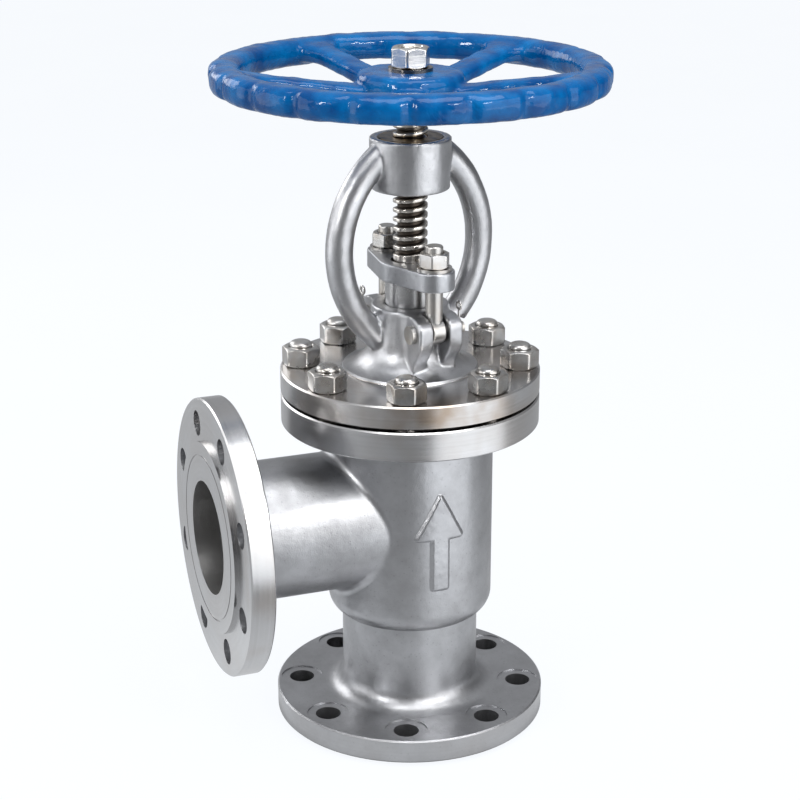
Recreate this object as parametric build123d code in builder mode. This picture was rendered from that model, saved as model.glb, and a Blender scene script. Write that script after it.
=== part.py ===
"""Angle-pattern globe valve, DN80, flanged, bolted bonnet with integral yoke.

Millimetres, +Z up along the stem.  The origin is the centre of the lower flange's
raised face.  The side branch points along -X.  The valve is modelled closed.
"""
import os
from math import cos, radians, sin, tan

from build123d import *

os.makedirs("parts", exist_ok=True)

# ---- driving dimensions ---------------------------------------------------------
PORT_R = 40.0  # DN80 bore
BRANCH_Z = 155.0  # lower flange face to branch axis
BRANCH_REACH = 150.0  # stem axis to branch flange face
WALL = 9.0

# pipe flanges, DN80 PN16, both alike
FLANGE_R = 97.5
FLANGE_T = 20.0  # over the raised face
RAISED_R = 67.5
RAISED_H = 3.0
FLANGE_PCD_R = 80.0
FLANGE_HOLE_R = 9.0
SPOT_FACE_R = 15.0
SPOT_FACE_DEPTH = 0.8
WATER_LINES = (46.0, 52.0, 58.0)  # radii of the grooves in the raised faces
WATER_LINE_W = 1.2
WATER_LINE_DEPTH = 0.6

# valve body
NECK_R = PORT_R + WALL
BARREL_R = 59.0
SHOULDER_Z = 81.5
SHOULDER_RISE = 14.0
SEAT_Z = 100.0
SEAT_R = 45.5
SEAT_LAND_H = 4.0
SEAT_LEDGE_FALL = 1.0
CHAMBER_R = 51.0
FLANGE_ROOT_FILLET = 13.0
BRANCH_FILLET = 7.0
BRANCH_CUT_X = 100.0  # where the casting is divided into solids
NECK_CUT_Z = 75.0
EDGE_BREAK = 1.0

# raised flow arrow on the barrel
ARROW_Z, ARROW_L = 118.0, 68.0
ARROW_W, ARROW_HEAD_W, ARROW_HEAD_L = 10.0, 32.0, 30.0
ARROW_RELIEF = 2.0

# body-to-bonnet joint
COVER_R = 91.0
BODY_FLANGE_Z = 225.3
BODY_TOP_Z = 246.1
GASKET_T = 1.9
GASKET_R_IN, GASKET_R_OUT = 53.0, 67.0
BONNET_Z = BODY_TOP_Z + GASKET_T
BONNET_TOP_Z = 264.2
COVER_PCD_R = 76.5
STUD_R = 8.0
STUD_HOLE_R = 9.0
STUD_BOTTOM_Z = 227.0
STUD_TOP_Z = 281.0
STUD_ROUND = 3.0
M16_NUT_AF = 24.0
M16_NUT_H = 13.0
NUT_FACE_INSET = 0.4  # nut chamfer starts inside the flats
NUT_TURN = 17.0  # degrees from one nut's flats to the next nut's
BOLT_COUNT = 8
BOLT_START = 22.5  # holes straddle the centre lines

# bonnet, stuffing box and yoke
SPIGOT_R = 50.8
SPIGOT_Z = 241.0
PAD_R = 46.9
PAD_Z = 266.0
FLARE_TOP_Z = 285.0
BOX_FOOT_R = 29.0
BOX_TOP_R = 27.0
BOX_TOP_Z = 310.0
BOX_BORE_R = 17.5
PASSAGE_R = 13.0  # stem passage below the stuffing box
BOX_FLOOR_Z = 270.0
YOKE_TURN = 9.0  # yoke plane, degrees from the branch plane
ARM_R = 9.5
ARM_ARC_R = 80.0
ARM_ARC_Z = 351.0
ARM_REACH = 55.2  # stem axis to the arm's centre line at its widest
ARM_TOP_Z = 418.0
ARM_FOOT_Z = 279.0
HEAD_Z0, HEAD_Z1 = 390.5, 426.5
HEAD_R0, HEAD_R1 = 27.0, 28.0

# lugs, eye bolts and gland
GLAND_BOLT_R = 32.7  # stem axis to each eye bolt
LUG_GAP = 13.0
LUG_T = 10.5
LUG_OUTER = LUG_GAP / 2 + LUG_T
LUG_SQUARE_R = 25.0  # inside this the cheeks widen towards the stuffing box
CHEEK_W = 27.0
LUG_PIN_Z = 297.5
LUG_REACH = 43.5  # stem axis to the lug's nose
LUG_TOP_Z, LUG_TOE_Z, LUG_TOE_R = 309.0, 271.0, 34.0
LUG_SHIN_H, LUG_CALF_H = 10.0, 12.0  # pull of the S-shaped front edge, at the toe and at the nose
LUG_NOSE_FILLET = 6.0
PIN_R = 4.0
PIN_HEAD_R, PIN_HEAD_T = 6.3, 3.0
PIN_TAIL = 5.5  # pin beyond the lug, for the split pin
SPLIT_WIRE_R = 0.9
SPLIT_EYE_R = 2.6
SPLIT_PIN_OUT = 3.0  # wire showing below the lug pin
SPLIT_PIN_RISE = 9.0  # wire between the lug pin and the eye
EYE_R, EYE_W = 8.8, 10.0
EYE_BOLT_R = 6.0
EYE_BOLT_TOP_Z = 358.0
GLAND_Z, GLAND_T = 328.0, 13.0
GLAND_MID_R, GLAND_END_R = 22.0, 14.0
GLAND_HOLE_R = 6.75
GLAND_BORE_R = 13.5
FOLLOWER_SEAT = 3.0
M12_WASHER_R, M12_WASHER_T = 12.0, 2.0
M12_NUT_AF, M12_NUT_H = 19.0, 10.0

# packing
PACKING_COUNT = 4
PACKING_H = 6.9
PACKING_WASHER_T = 3.0

# stem, its nut and the disc
STEM_R = 12.0
RUNNING = 0.06  # radial clearance of the running fits on the stem
STEM_HEAD_R, STEM_HEAD_Z, STEM_HEAD_H = 15.0, 108.3, 6.4
BACKSEAT_Z, BACKSEAT_R, BACKSEAT_H = 204.0, 16.0, 6.0
BUSH_Z0, BUSH_Z1, BUSH_R = 238.0, 262.0, 18.0
STEM_SHOULDER_Z = 448.0
STEM_SQUARE = 17.0
STEM_SQUARE_TOP_Z = 469.8
STEM_TOP_Z = 485.0
NUT_R, NUT_COLLAR_R, NUT_COLLAR_T = 18.0, 22.0, 4.0
GRUB_R, GRUB_LEN = 3.0, 8.0
GRUB_KEY_R, GRUB_KEY_DEPTH = 1.5, 2.7
COLLAR_SLOPE_H = 2.0  # cone above the back-seat collar
SEAT_GAP = 0.1
DISC_H = 15.0
DISC_PLUG_R, DISC_PLUG_H = 37.0, 5.0
DISC_HUB_R, DISC_HUB_H = 24.0, 15.0
DISC_POCKET_R = 17.0
DISC_PLUG_TAPER = 3.0
DISC_SLOPE = 4.0  # bevel at the foot of the disc's hub
STEM_HEAD_PLAY = 0.3  # above and below the stem head in its pocket
COVER_NUT_AF, COVER_NUT_H = 38.0, 7.0

# handwheel
WHEEL_R = 135.0
RIM_W = 22.0
RIM_TOP_Z, RIM_Z, RIM_INNER_Z = 477.0, 459.0, 464.0
RIM_FILLET = 4.5
RIM_CHAMFER_W, RIM_CHAMFER_H = 3.0, 5.0  # lower outer edge of the rim
RIM_TOP_CHAMFER = 4.0
SPOKE_INTO_RIM, SPOKE_INTO_HUB = 4.0, 6.0
HUB_LEDGE_W, HUB_LIP_W, HUB_LIP_H = 4.0, 3.0, 4.0
GRIP_COUNT = 22
GRIP_R, GRIP_DEPTH = 9.0, 1.6
SPOKE_COUNT = 5
SPOKE_W, SPOKE_T = 20.0, 12.0
SPOKE_HUB_Z, SPOKE_RIM_Z = 460.5, 476.0  # top of a spoke at the hub and at the rim
SPOKE_START = 249.0  # one spoke faces the operator
WHEEL_HUB_R, WHEEL_BOSS_R = 34.0, 26.0
WHEEL_HUB_Z, WHEEL_HUB_TOP_Z = 456.0, 470.5
WHEEL_WASHER_R, WHEEL_WASHER_T = 15.0, 2.5
WHEEL_NUT_H = 13.5
M16_CLEARANCE_R = 8.5

# ---- directions derived from the yoke's turn ------------------------------------
ALONG_YOKE = Vector(cos(radians(YOKE_TURN)), sin(radians(YOKE_TURN)), 0)
TO_BACK = Vector(-sin(radians(YOKE_TURN)), cos(radians(YOKE_TURN)), 0)
UP = Vector(0, 0, 1)
YOKE_PLANE = Plane(origin=(0, 0, 0), x_dir=ALONG_YOKE, z_dir=-TO_BACK)


def corner(sketch, x, y):
    """The sketch vertex nearest to x, y in the sketch's own plane."""
    return sketch.vertices().sort_by_distance((x, y, 0))[0]


def lug_plane(toward, offset):
    """Upright plane across the pin: local x points away from the stem, local y up."""
    across = toward.cross(UP)
    return Plane(origin=across * offset, x_dir=toward, z_dir=across)


def save(part, name):
    """Label a finished piece and write its STEP file."""
    part.label = name
    export_step(part, f"parts/{name}.step")


# ---- valve body: one casting, machined faces ------------------------------------
BRANCH_RIM_X = RAISED_H - BRANCH_REACH
BRANCH_BACK_X = FLANGE_T - BRANCH_REACH
branch_back = Plane(origin=(BRANCH_BACK_X, 0, BRANCH_Z), x_dir=(0, 1, 0), z_dir=(1, 0, 0))
branch_face = Plane(origin=(-BRANCH_REACH, 0, BRANCH_Z), x_dir=(0, 1, 0), z_dir=(-1, 0, 0))

with BuildPart() as body_casting:
    with BuildSketch(Plane.XZ) as body_outline:
        with BuildLine():
            Polyline(
                (0, 0), (RAISED_R, 0), (RAISED_R, RAISED_H), (FLANGE_R, RAISED_H),
                (FLANGE_R, FLANGE_T), (NECK_R, FLANGE_T), (NECK_R, SHOULDER_Z),
            )
            barrel_foot = (BARREL_R, SHOULDER_Z + SHOULDER_RISE)
            shoulder = RadiusArc((NECK_R, SHOULDER_Z), barrel_foot, -SHOULDER_RISE)
            Polyline(
                shoulder @ 1, (BARREL_R, BODY_FLANGE_Z), (COVER_R, BODY_FLANGE_Z),
                (COVER_R, BODY_TOP_Z), (0, BODY_TOP_Z), (0, 0),
            )
        make_face()
        fillet(corner(body_outline, NECK_R, FLANGE_T), FLANGE_ROOT_FILLET)
        fillet(corner(body_outline, BARREL_R, BODY_FLANGE_Z), FLANGE_ROOT_FILLET / 2)
        chamfer(
            [
                corner(body_outline, FLANGE_R, RAISED_H), corner(body_outline, FLANGE_R, FLANGE_T),
                corner(body_outline, COVER_R, BODY_FLANGE_Z), corner(body_outline, COVER_R, BODY_TOP_Z),
            ],
            EDGE_BREAK,
        )
    revolve(axis=Axis.Z)

    # branch neck and its flange, turned about the branch axis
    with BuildSketch(Plane.XZ) as branch_outline:
        with BuildLine():
            Polyline(
                (0, BRANCH_Z), (-BRANCH_REACH, BRANCH_Z), (-BRANCH_REACH, BRANCH_Z + RAISED_R),
                (BRANCH_RIM_X, BRANCH_Z + RAISED_R), (BRANCH_RIM_X, BRANCH_Z + FLANGE_R),
                (BRANCH_BACK_X, BRANCH_Z + FLANGE_R), (BRANCH_BACK_X, BRANCH_Z + NECK_R),
                (0, BRANCH_Z + NECK_R), (0, BRANCH_Z),
            )
        make_face()
        fillet(corner(branch_outline, BRANCH_BACK_X, BRANCH_Z + NECK_R), FLANGE_ROOT_FILLET)
        chamfer(
            [
                corner(branch_outline, BRANCH_RIM_X, BRANCH_Z + FLANGE_R),
                corner(branch_outline, BRANCH_BACK_X, BRANCH_Z + FLANGE_R),
            ],
            EDGE_BREAK,
        )
    revolve(axis=Axis((0, 0, BRANCH_Z), (1, 0, 0)))
    saddle = body_casting.edges(Select.LAST).filter_by(GeomType.BSPLINE)
    fillet(saddle, BRANCH_FILLET)

    # raised flow arrow on the barrel, pointing up through the seat
    ARROW_NECK_Z = ARROW_Z + ARROW_L - ARROW_HEAD_L
    with BuildSketch(Plane.XZ.offset(BARREL_R / 2), mode=Mode.PRIVATE) as arrow_outline:
        with BuildLine():
            Polyline(
                (-ARROW_W / 2, ARROW_Z), (ARROW_W / 2, ARROW_Z), (ARROW_W / 2, ARROW_NECK_Z),
                (ARROW_HEAD_W / 2, ARROW_NECK_Z), (0, ARROW_Z + ARROW_L),
                (-ARROW_HEAD_W / 2, ARROW_NECK_Z), (-ARROW_W / 2, ARROW_NECK_Z),
                (-ARROW_W / 2, ARROW_Z),
            )
        make_face()
    arrow_prism = extrude(arrow_outline.sketch, amount=BARREL_R, mode=Mode.PRIVATE)
    arrow_skin = Pos(0, 0, BRANCH_Z) * Cylinder(BARREL_R + ARROW_RELIEF, BRANCH_Z, mode=Mode.PRIVATE)
    add(arrow_prism & arrow_skin)

    # waterway: inlet bore, seat, disc chamber and the bonnet's spigot bore
    with BuildSketch(Plane.XZ):
        with BuildLine():
            Polyline(
                (0, 0), (PORT_R, 0), (PORT_R, SEAT_Z), (SEAT_R, SEAT_Z),
                (SEAT_R + SEAT_LAND_H / 2, SEAT_Z - SEAT_LAND_H),
                (CHAMBER_R, SEAT_Z - SEAT_LAND_H + SEAT_LEDGE_FALL),
                (CHAMBER_R, BODY_TOP_Z), (0, BODY_TOP_Z), (0, 0),
            )
        make_face()
    revolve(axis=Axis.Z, mode=Mode.SUBTRACT)
    with BuildSketch(branch_face):
        Circle(PORT_R)
    extrude(amount=-(BRANCH_REACH - CHAMBER_R / 2), mode=Mode.SUBTRACT)

    # sealing grooves in both raised faces
    for groove_face in (Plane.XY, Plane(branch_face.origin, x_dir=(0, 1, 0), z_dir=(1, 0, 0))):
        with BuildSketch(groove_face):
            for groove_r in WATER_LINES:
                Circle(groove_r + WATER_LINE_W / 2)
                Circle(groove_r - WATER_LINE_W / 2, mode=Mode.SUBTRACT)
        extrude(amount=WATER_LINE_DEPTH, mode=Mode.SUBTRACT)

    # bolt holes: spot-faced on the pipe flanges, tapped in the cover flange
    with Locations(Plane.XY.offset(FLANGE_T), branch_back):
        with PolarLocations(FLANGE_PCD_R, BOLT_COUNT, start_angle=BOLT_START):
            CounterBoreHole(FLANGE_HOLE_R, SPOT_FACE_R, SPOT_FACE_DEPTH, depth=FLANGE_T)
    with Locations(Plane.XY.offset(BODY_TOP_Z)):
        with PolarLocations(COVER_PCD_R, BOLT_COUNT, start_angle=BOLT_START):
            Hole(STUD_R + RUNNING, depth=BODY_TOP_Z - BODY_FLANGE_Z)

# the casting is stored as three solids that meet at flat faces: a barrel and two ends
branch_cut = Plane(origin=(-BRANCH_CUT_X, 0, 0), z_dir=(-1, 0, 0))
neck_cut = Plane.XY.offset(NECK_CUT_Z)
barrel_and_neck = split(body_casting.part, bisect_by=branch_cut, keep=Keep.BOTTOM)
save(split(body_casting.part, bisect_by=branch_cut, keep=Keep.TOP), "outlet_end")
save(split(barrel_and_neck, bisect_by=neck_cut, keep=Keep.BOTTOM), "inlet_end")
save(split(barrel_and_neck, bisect_by=neck_cut, keep=Keep.TOP), "valve_body")

# ---- bonnet: cover flange, stuffing box, lugs and yoke in one casting ------------
with BuildPart() as bonnet:
    with BuildSketch(Plane.XZ) as bonnet_outline:
        with BuildLine():
            Polyline(
                (0, SPIGOT_Z), (SPIGOT_R, SPIGOT_Z), (SPIGOT_R, BONNET_Z), (COVER_R, BONNET_Z),
                (COVER_R, BONNET_TOP_Z), (PAD_R + EDGE_BREAK, BONNET_TOP_Z), (PAD_R, PAD_Z),
            )
            flare = RadiusArc((PAD_R - EDGE_BREAK, PAD_Z), (BOX_FOOT_R, FLARE_TOP_Z), FLARE_TOP_Z - PAD_Z)
            Line((PAD_R, PAD_Z), flare @ 0)
            Polyline(flare @ 1, (BOX_TOP_R, BOX_TOP_Z), (0, BOX_TOP_Z), (0, SPIGOT_Z))
        make_face()
        rim_corners = [corner(bonnet_outline, COVER_R, z) for z in (BONNET_Z, BONNET_TOP_Z)]
        chamfer(rim_corners, EDGE_BREAK)
        fillet(corner(bonnet_outline, BOX_TOP_R, BOX_TOP_Z), EDGE_BREAK)
    revolve(axis=Axis.Z)

    # yoke head
    with BuildSketch(Plane.XZ) as head_outline:
        with BuildLine():
            Polyline(
                (0, HEAD_Z0), (HEAD_R0, HEAD_Z0), (HEAD_R1, HEAD_Z1), (0, HEAD_Z1), (0, HEAD_Z0),
            )
        make_face()
        head_corners = [corner(head_outline, HEAD_R0, HEAD_Z0), corner(head_outline, HEAD_R1, HEAD_Z1)]
        fillet(head_corners, EDGE_BREAK)
    revolve(axis=Axis.Z)

    # two round arms, each one arc from the foot of the stuffing box to the head
    ARC_CENTRE = ARM_REACH - ARM_ARC_R

    def arm_point(z):
        """Point of the arm's centre line at height z, in the yoke's plane."""
        return (ARC_CENTRE + (ARM_ARC_R**2 - (z - ARM_ARC_Z) ** 2) ** 0.5, z)

    with BuildLine(YOKE_PLANE) as arm_path:
        ThreePointArc(arm_point(ARM_FOOT_Z), (ARM_REACH, ARM_ARC_Z), arm_point(ARM_TOP_Z))
    with BuildSketch(Plane(origin=arm_path.line @ 0, z_dir=arm_path.line % 0)) as arm_section:
        Circle(ARM_R)
    arm = sweep(arm_section.sketch, path=arm_path.line, mode=Mode.PRIVATE)
    add(arm)
    add(arm.rotate(Axis.Z, 180))

    # two pairs of lugs for the eye bolts, their cheeks widening into the stuffing box
    for toward in (-TO_BACK, TO_BACK):
        with BuildSketch(lug_plane(toward, -CHEEK_W), mode=Mode.PRIVATE) as lug:
            with BuildLine():
                Polyline(
                    (LUG_REACH, LUG_PIN_Z - PIN_R), (LUG_REACH, LUG_TOP_Z - PIN_R),
                    (GLAND_BOLT_R, LUG_TOP_Z), (0, LUG_TOP_Z), (0, LUG_TOE_Z), (LUG_TOE_R, LUG_TOE_Z),
                )
                Bezier(
                    (LUG_TOE_R, LUG_TOE_Z), (LUG_TOE_R, LUG_TOE_Z + LUG_SHIN_H),
                    (LUG_REACH, LUG_PIN_Z - PIN_R - LUG_CALF_H), (LUG_REACH, LUG_PIN_Z - PIN_R),
                )
            make_face()
            fillet(corner(lug, LUG_REACH, LUG_TOP_Z - PIN_R), LUG_NOSE_FILLET)
        slab = extrude(lug.sketch, amount=2 * CHEEK_W, mode=Mode.PRIVATE)
        plan_plane = Plane(origin=UP * LUG_TOE_Z, x_dir=toward, z_dir=UP)
        with BuildSketch(plan_plane, mode=Mode.PRIVATE) as cheeks:
            for side in (-1, 1):
                with BuildLine():
                    Polyline(
                        (0, side * LUG_GAP / 2), (LUG_REACH, side * LUG_GAP / 2),
                        (LUG_REACH, side * LUG_OUTER), (LUG_SQUARE_R, side * LUG_OUTER),
                        (0, side * CHEEK_W), (0, side * LUG_GAP / 2),
                    )
                make_face()
        cheek_prism = extrude(cheeks.sketch, amount=LUG_TOP_Z - LUG_TOE_Z, mode=Mode.PRIVATE)
        add(slab & cheek_prism)
        with BuildSketch(lug_plane(toward, -LUG_OUTER)):
            with Locations((GLAND_BOLT_R, LUG_PIN_Z)):
                Circle(PIN_R + RUNNING)
        extrude(amount=2 * LUG_OUTER, mode=Mode.SUBTRACT)
        # slot for the eye and its shank, cut into the side of the stuffing box
        with BuildSketch(lug_plane(toward, -LUG_GAP / 2)):
            with Locations((GLAND_BOLT_R, LUG_PIN_Z)):
                Circle(EYE_R + EDGE_BREAK)
                Rectangle(
                    2 * EYE_BOLT_R + EDGE_BREAK,
                    BOX_TOP_Z - LUG_PIN_Z,
                    align=(Align.CENTER, Align.MIN),
                )
        extrude(amount=LUG_GAP, mode=Mode.SUBTRACT)

    # bores: back-seat bush pocket, stem passage, stuffing box, stem nut seat
    with BuildSketch(Plane.XZ):
        with BuildLine():
            Polyline(
                (0, SPIGOT_Z), (BUSH_R, SPIGOT_Z), (BUSH_R, BUSH_Z1), (PASSAGE_R, BUSH_Z1),
                (PASSAGE_R, BOX_FLOOR_Z), (BOX_BORE_R, BOX_FLOOR_Z), (BOX_BORE_R, BOX_TOP_Z),
                (0, BOX_TOP_Z), (0, SPIGOT_Z),
            )
        make_face()
    revolve(axis=Axis.Z, mode=Mode.SUBTRACT)
    with Locations(Plane.XY.offset(HEAD_Z1)):
        CounterBoreHole(NUT_R, NUT_COLLAR_R, NUT_COLLAR_T, depth=HEAD_Z1 - HEAD_Z0)
    with BuildSketch(Plane.XY.offset(BONNET_TOP_Z)):
        with PolarLocations(COVER_PCD_R, BOLT_COUNT, start_angle=BOLT_START):
            Circle(STUD_HOLE_R)
    extrude(amount=BONNET_Z - BONNET_TOP_Z, mode=Mode.SUBTRACT)
    # tapped hole for the grub screw that locks the stem nut, in the back of the head
    grub_plane = Plane(origin=TO_BACK * NUT_R + UP * (HEAD_Z0 + HEAD_Z1) / 2, z_dir=TO_BACK)
    with BuildSketch(grub_plane):
        Circle(GRUB_R)
    extrude(amount=HEAD_R1, mode=Mode.SUBTRACT)
save(bonnet.part, "bonnet")

# ---- bonnet gasket, studs and nuts ----------------------------------------------
with BuildPart() as bonnet_gasket:
    with BuildSketch(Plane.XY.offset(BODY_TOP_Z)):
        Circle(GASKET_R_OUT)
        Circle(GASKET_R_IN, mode=Mode.SUBTRACT)
    extrude(amount=GASKET_T)
save(bonnet_gasket.part, "bonnet_gasket")

with BuildPart() as stud:
    with BuildSketch(Plane.XY.offset(STUD_BOTTOM_Z)):
        Circle(STUD_R)
    extrude(amount=STUD_TOP_Z - STUD_BOTTOM_Z)
    chamfer(stud.edges().group_by(Axis.Z)[0], EDGE_BREAK)
    fillet(stud.edges().group_by(Axis.Z)[-1], STUD_ROUND)


def hex_nut(across_flats, height, bore, bottom_z):
    """Hexagon nut on the Z axis with both faces chamfered to the flats."""
    with BuildPart() as nut:
        with BuildSketch(Plane.XY.offset(bottom_z)):
            RegularPolygon(across_flats / 2, 6, major_radius=False)
            Circle(bore, mode=Mode.SUBTRACT)
        extrude(amount=height)
        corner_r = across_flats / 2 / cos(radians(30))
        face_r = across_flats / 2 - NUT_FACE_INSET
        fall = (corner_r - face_r) * tan(radians(30))
        with BuildSketch(Plane.XZ):
            with BuildLine():
                Polyline(
                    (0, bottom_z), (face_r, bottom_z), (corner_r, bottom_z + fall),
                    (corner_r, bottom_z + height - fall), (face_r, bottom_z + height),
                    (0, bottom_z + height), (0, bottom_z),
                )
            make_face()
        revolve(axis=Axis.Z, mode=Mode.INTERSECT)
    return nut.part


cover_nut = hex_nut(M16_NUT_AF, M16_NUT_H, STUD_R, BONNET_TOP_Z)

with BuildPart() as bonnet_studs:
    with PolarLocations(COVER_PCD_R, BOLT_COUNT, start_angle=BOLT_START):
        add(stud.part)
save(bonnet_studs.part, "bonnet_studs")

with BuildPart() as bonnet_nuts:
    for number in range(BOLT_COUNT):
        # each nut ends up at its own angle when it is tightened
        round_flange = Rot(0, 0, BOLT_START + number * 360 / BOLT_COUNT) * Pos(COVER_PCD_R, 0, 0)
        with Locations(round_flange * Rot(0, 0, NUT_TURN * number)):
            add(cover_nut)
save(bonnet_nuts.part, "bonnet_nuts")

# ---- back-seat bush, screwed into the bonnet from below --------------------------
with BuildPart() as backseat_bush:
    with BuildSketch(Plane.XY.offset(BUSH_Z0)):
        Circle(BUSH_R)
        Circle(STEM_R + RUNNING, mode=Mode.SUBTRACT)
    extrude(amount=BUSH_Z1 - BUSH_Z0)
    chamfer(backseat_bush.edges().group_by(Axis.Z)[0], EDGE_BREAK)
save(backseat_bush.part, "backseat_bush")

# ---- packing: a metal bottom washer and square graphite rings --------------------
with BuildPart() as packing_washer:
    with BuildSketch(Plane.XY.offset(BOX_FLOOR_Z)):
        Circle(BOX_BORE_R)
        Circle(STEM_R + 2 * RUNNING, mode=Mode.SUBTRACT)
    extrude(amount=PACKING_WASHER_T)
save(packing_washer.part, "packing_washer")

for ring in range(PACKING_COUNT):
    with BuildPart() as packing_ring:
        with BuildSketch(Plane.XY.offset(BOX_FLOOR_Z + PACKING_WASHER_T + ring * PACKING_H)):
            Circle(BOX_BORE_R)
            Circle(STEM_R + RUNNING, mode=Mode.SUBTRACT)
        extrude(amount=PACKING_H)
    save(packing_ring.part, f"packing_ring_{ring + 1}")

# ---- gland follower, gland flange and their fasteners ----------------------------
FOLLOWER_Z = BOX_FLOOR_Z + PACKING_WASHER_T + PACKING_COUNT * PACKING_H
with BuildPart() as gland_follower:
    with BuildSketch(Plane.XY.offset(FOLLOWER_Z)):
        Circle(BOX_BORE_R - RUNNING)
        Circle(STEM_R + 5 * RUNNING, mode=Mode.SUBTRACT)
    extrude(amount=GLAND_Z + FOLLOWER_SEAT - FOLLOWER_Z)
save(gland_follower.part, "gland_follower")

GLAND_BOLTS = [TO_BACK * -GLAND_BOLT_R, TO_BACK * GLAND_BOLT_R]
gland_plane = Plane(origin=UP * GLAND_Z, x_dir=TO_BACK, z_dir=UP)

with BuildPart() as gland_flange:
    with BuildSketch(gland_plane):
        Circle(GLAND_MID_R)
        with Locations((-GLAND_BOLT_R, 0), (GLAND_BOLT_R, 0)):
            Circle(GLAND_END_R)
        make_hull()
    extrude(amount=GLAND_T)
    fillet(gland_flange.edges().group_by(Axis.Z)[-1], EDGE_BREAK)
    with BuildSketch(gland_plane):
        Circle(GLAND_BORE_R)
        with Locations((-GLAND_BOLT_R, 0), (GLAND_BOLT_R, 0)):
            Circle(GLAND_HOLE_R)
    extrude(amount=GLAND_T, mode=Mode.SUBTRACT)
    with BuildSketch(gland_plane):
        Circle(BOX_BORE_R)
    extrude(amount=FOLLOWER_SEAT, mode=Mode.SUBTRACT)
save(gland_flange.part, "gland_flange")

WASHER_Z = GLAND_Z + GLAND_T
with BuildPart() as gland_washers:
    with BuildSketch(Plane.XY.offset(WASHER_Z)):
        with Locations(GLAND_BOLTS):
            Circle(M12_WASHER_R)
            Circle(GLAND_HOLE_R, mode=Mode.SUBTRACT)
    extrude(amount=M12_WASHER_T)
save(gland_washers.part, "gland_washers")

gland_nut = hex_nut(M12_NUT_AF, M12_NUT_H, EYE_BOLT_R + 5 * RUNNING, WASHER_Z + M12_WASHER_T)
with BuildPart() as gland_nuts:
    with Locations(GLAND_BOLTS):
        add(gland_nut)
save(gland_nuts.part, "gland_nuts")

# ---- eye bolts, their pins and split pins ----------------------------------------
SIDES = {"front": -TO_BACK, "back": TO_BACK}
for side, toward in SIDES.items():
    with BuildPart() as eye_bolt:
        with BuildSketch(lug_plane(toward, -EYE_W / 2)):
            with Locations((GLAND_BOLT_R, LUG_PIN_Z)):
                Circle(EYE_R)
        extrude(amount=EYE_W)
        fillet(eye_bolt.edges().filter_by(GeomType.CIRCLE), EDGE_BREAK)
        with Locations(toward * GLAND_BOLT_R + UP * (LUG_PIN_Z + EYE_BOLT_TOP_Z) / 2):
            Cylinder(EYE_BOLT_R, EYE_BOLT_TOP_Z - LUG_PIN_Z)
        fillet(eye_bolt.edges().group_by(Axis.Z)[-1], 1.5 * EDGE_BREAK)
        with BuildSketch(lug_plane(toward, -EYE_BOLT_R)):
            with Locations((GLAND_BOLT_R, LUG_PIN_Z)):
                Circle(PIN_R + RUNNING)
        extrude(amount=2 * EYE_BOLT_R, mode=Mode.SUBTRACT)
    save(eye_bolt.part, f"eye_bolt_{side}")

TAIL_MID = LUG_OUTER + PIN_TAIL / 2
with BuildPart() as lug_pins:
    for toward in SIDES.values():
        with BuildSketch(lug_plane(toward, -LUG_OUTER - PIN_TAIL)):
            with Locations((GLAND_BOLT_R, LUG_PIN_Z)):
                Circle(PIN_R)
        extrude(amount=2 * LUG_OUTER + PIN_TAIL)
        with BuildSketch(lug_plane(toward, LUG_OUTER)):
            with Locations((GLAND_BOLT_R, LUG_PIN_Z)):
                Circle(PIN_HEAD_R)
        extrude(amount=PIN_HEAD_T)
        across = toward.cross(UP)
        with Locations(toward * GLAND_BOLT_R - across * TAIL_MID + UP * LUG_PIN_Z):
            Cylinder(SPLIT_WIRE_R + RUNNING, 3 * PIN_R, mode=Mode.SUBTRACT)
save(lug_pins.part, "lug_pins")

with BuildPart() as split_pins:
    for toward in SIDES.values():
        across = toward.cross(UP)
        hole = toward * GLAND_BOLT_R - across * TAIL_MID + UP * LUG_PIN_Z
        with Locations(hole + UP * (SPLIT_PIN_RISE - SPLIT_PIN_OUT) / 2):
            Cylinder(SPLIT_WIRE_R, 2 * PIN_R + SPLIT_PIN_OUT + SPLIT_PIN_RISE)
        eye = hole + UP * (PIN_R + SPLIT_PIN_RISE + SPLIT_EYE_R)
        with Locations(Plane(origin=eye, x_dir=UP, z_dir=across)):
            Torus(SPLIT_EYE_R, SPLIT_WIRE_R)
save(split_pins.part, "split_pins")

# ---- stem nut, locked in the yoke head -------------------------------------------
with BuildPart() as stem_nut:
    with BuildSketch(Plane.XY.offset(HEAD_Z0)):
        Circle(NUT_R)
    extrude(amount=HEAD_Z1 - HEAD_Z0)
    with BuildSketch(Plane.XY.offset(HEAD_Z1 - NUT_COLLAR_T)):
        Circle(NUT_COLLAR_R)
    extrude(amount=NUT_COLLAR_T)
    with BuildSketch(Plane.XY.offset(HEAD_Z0)):
        Circle(STEM_R + RUNNING)
    extrude(amount=HEAD_Z1 - HEAD_Z0, mode=Mode.SUBTRACT)
save(stem_nut.part, "stem_nut")

with BuildPart() as grub_screw:
    with BuildSketch(grub_plane):
        Circle(GRUB_R)
    extrude(amount=GRUB_LEN)
    with BuildSketch(grub_plane.offset(GRUB_LEN)):
        RegularPolygon(GRUB_KEY_R, 6, major_radius=False)
    extrude(amount=-GRUB_KEY_DEPTH, mode=Mode.SUBTRACT)
save(grub_screw.part, "grub_screw")

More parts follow.
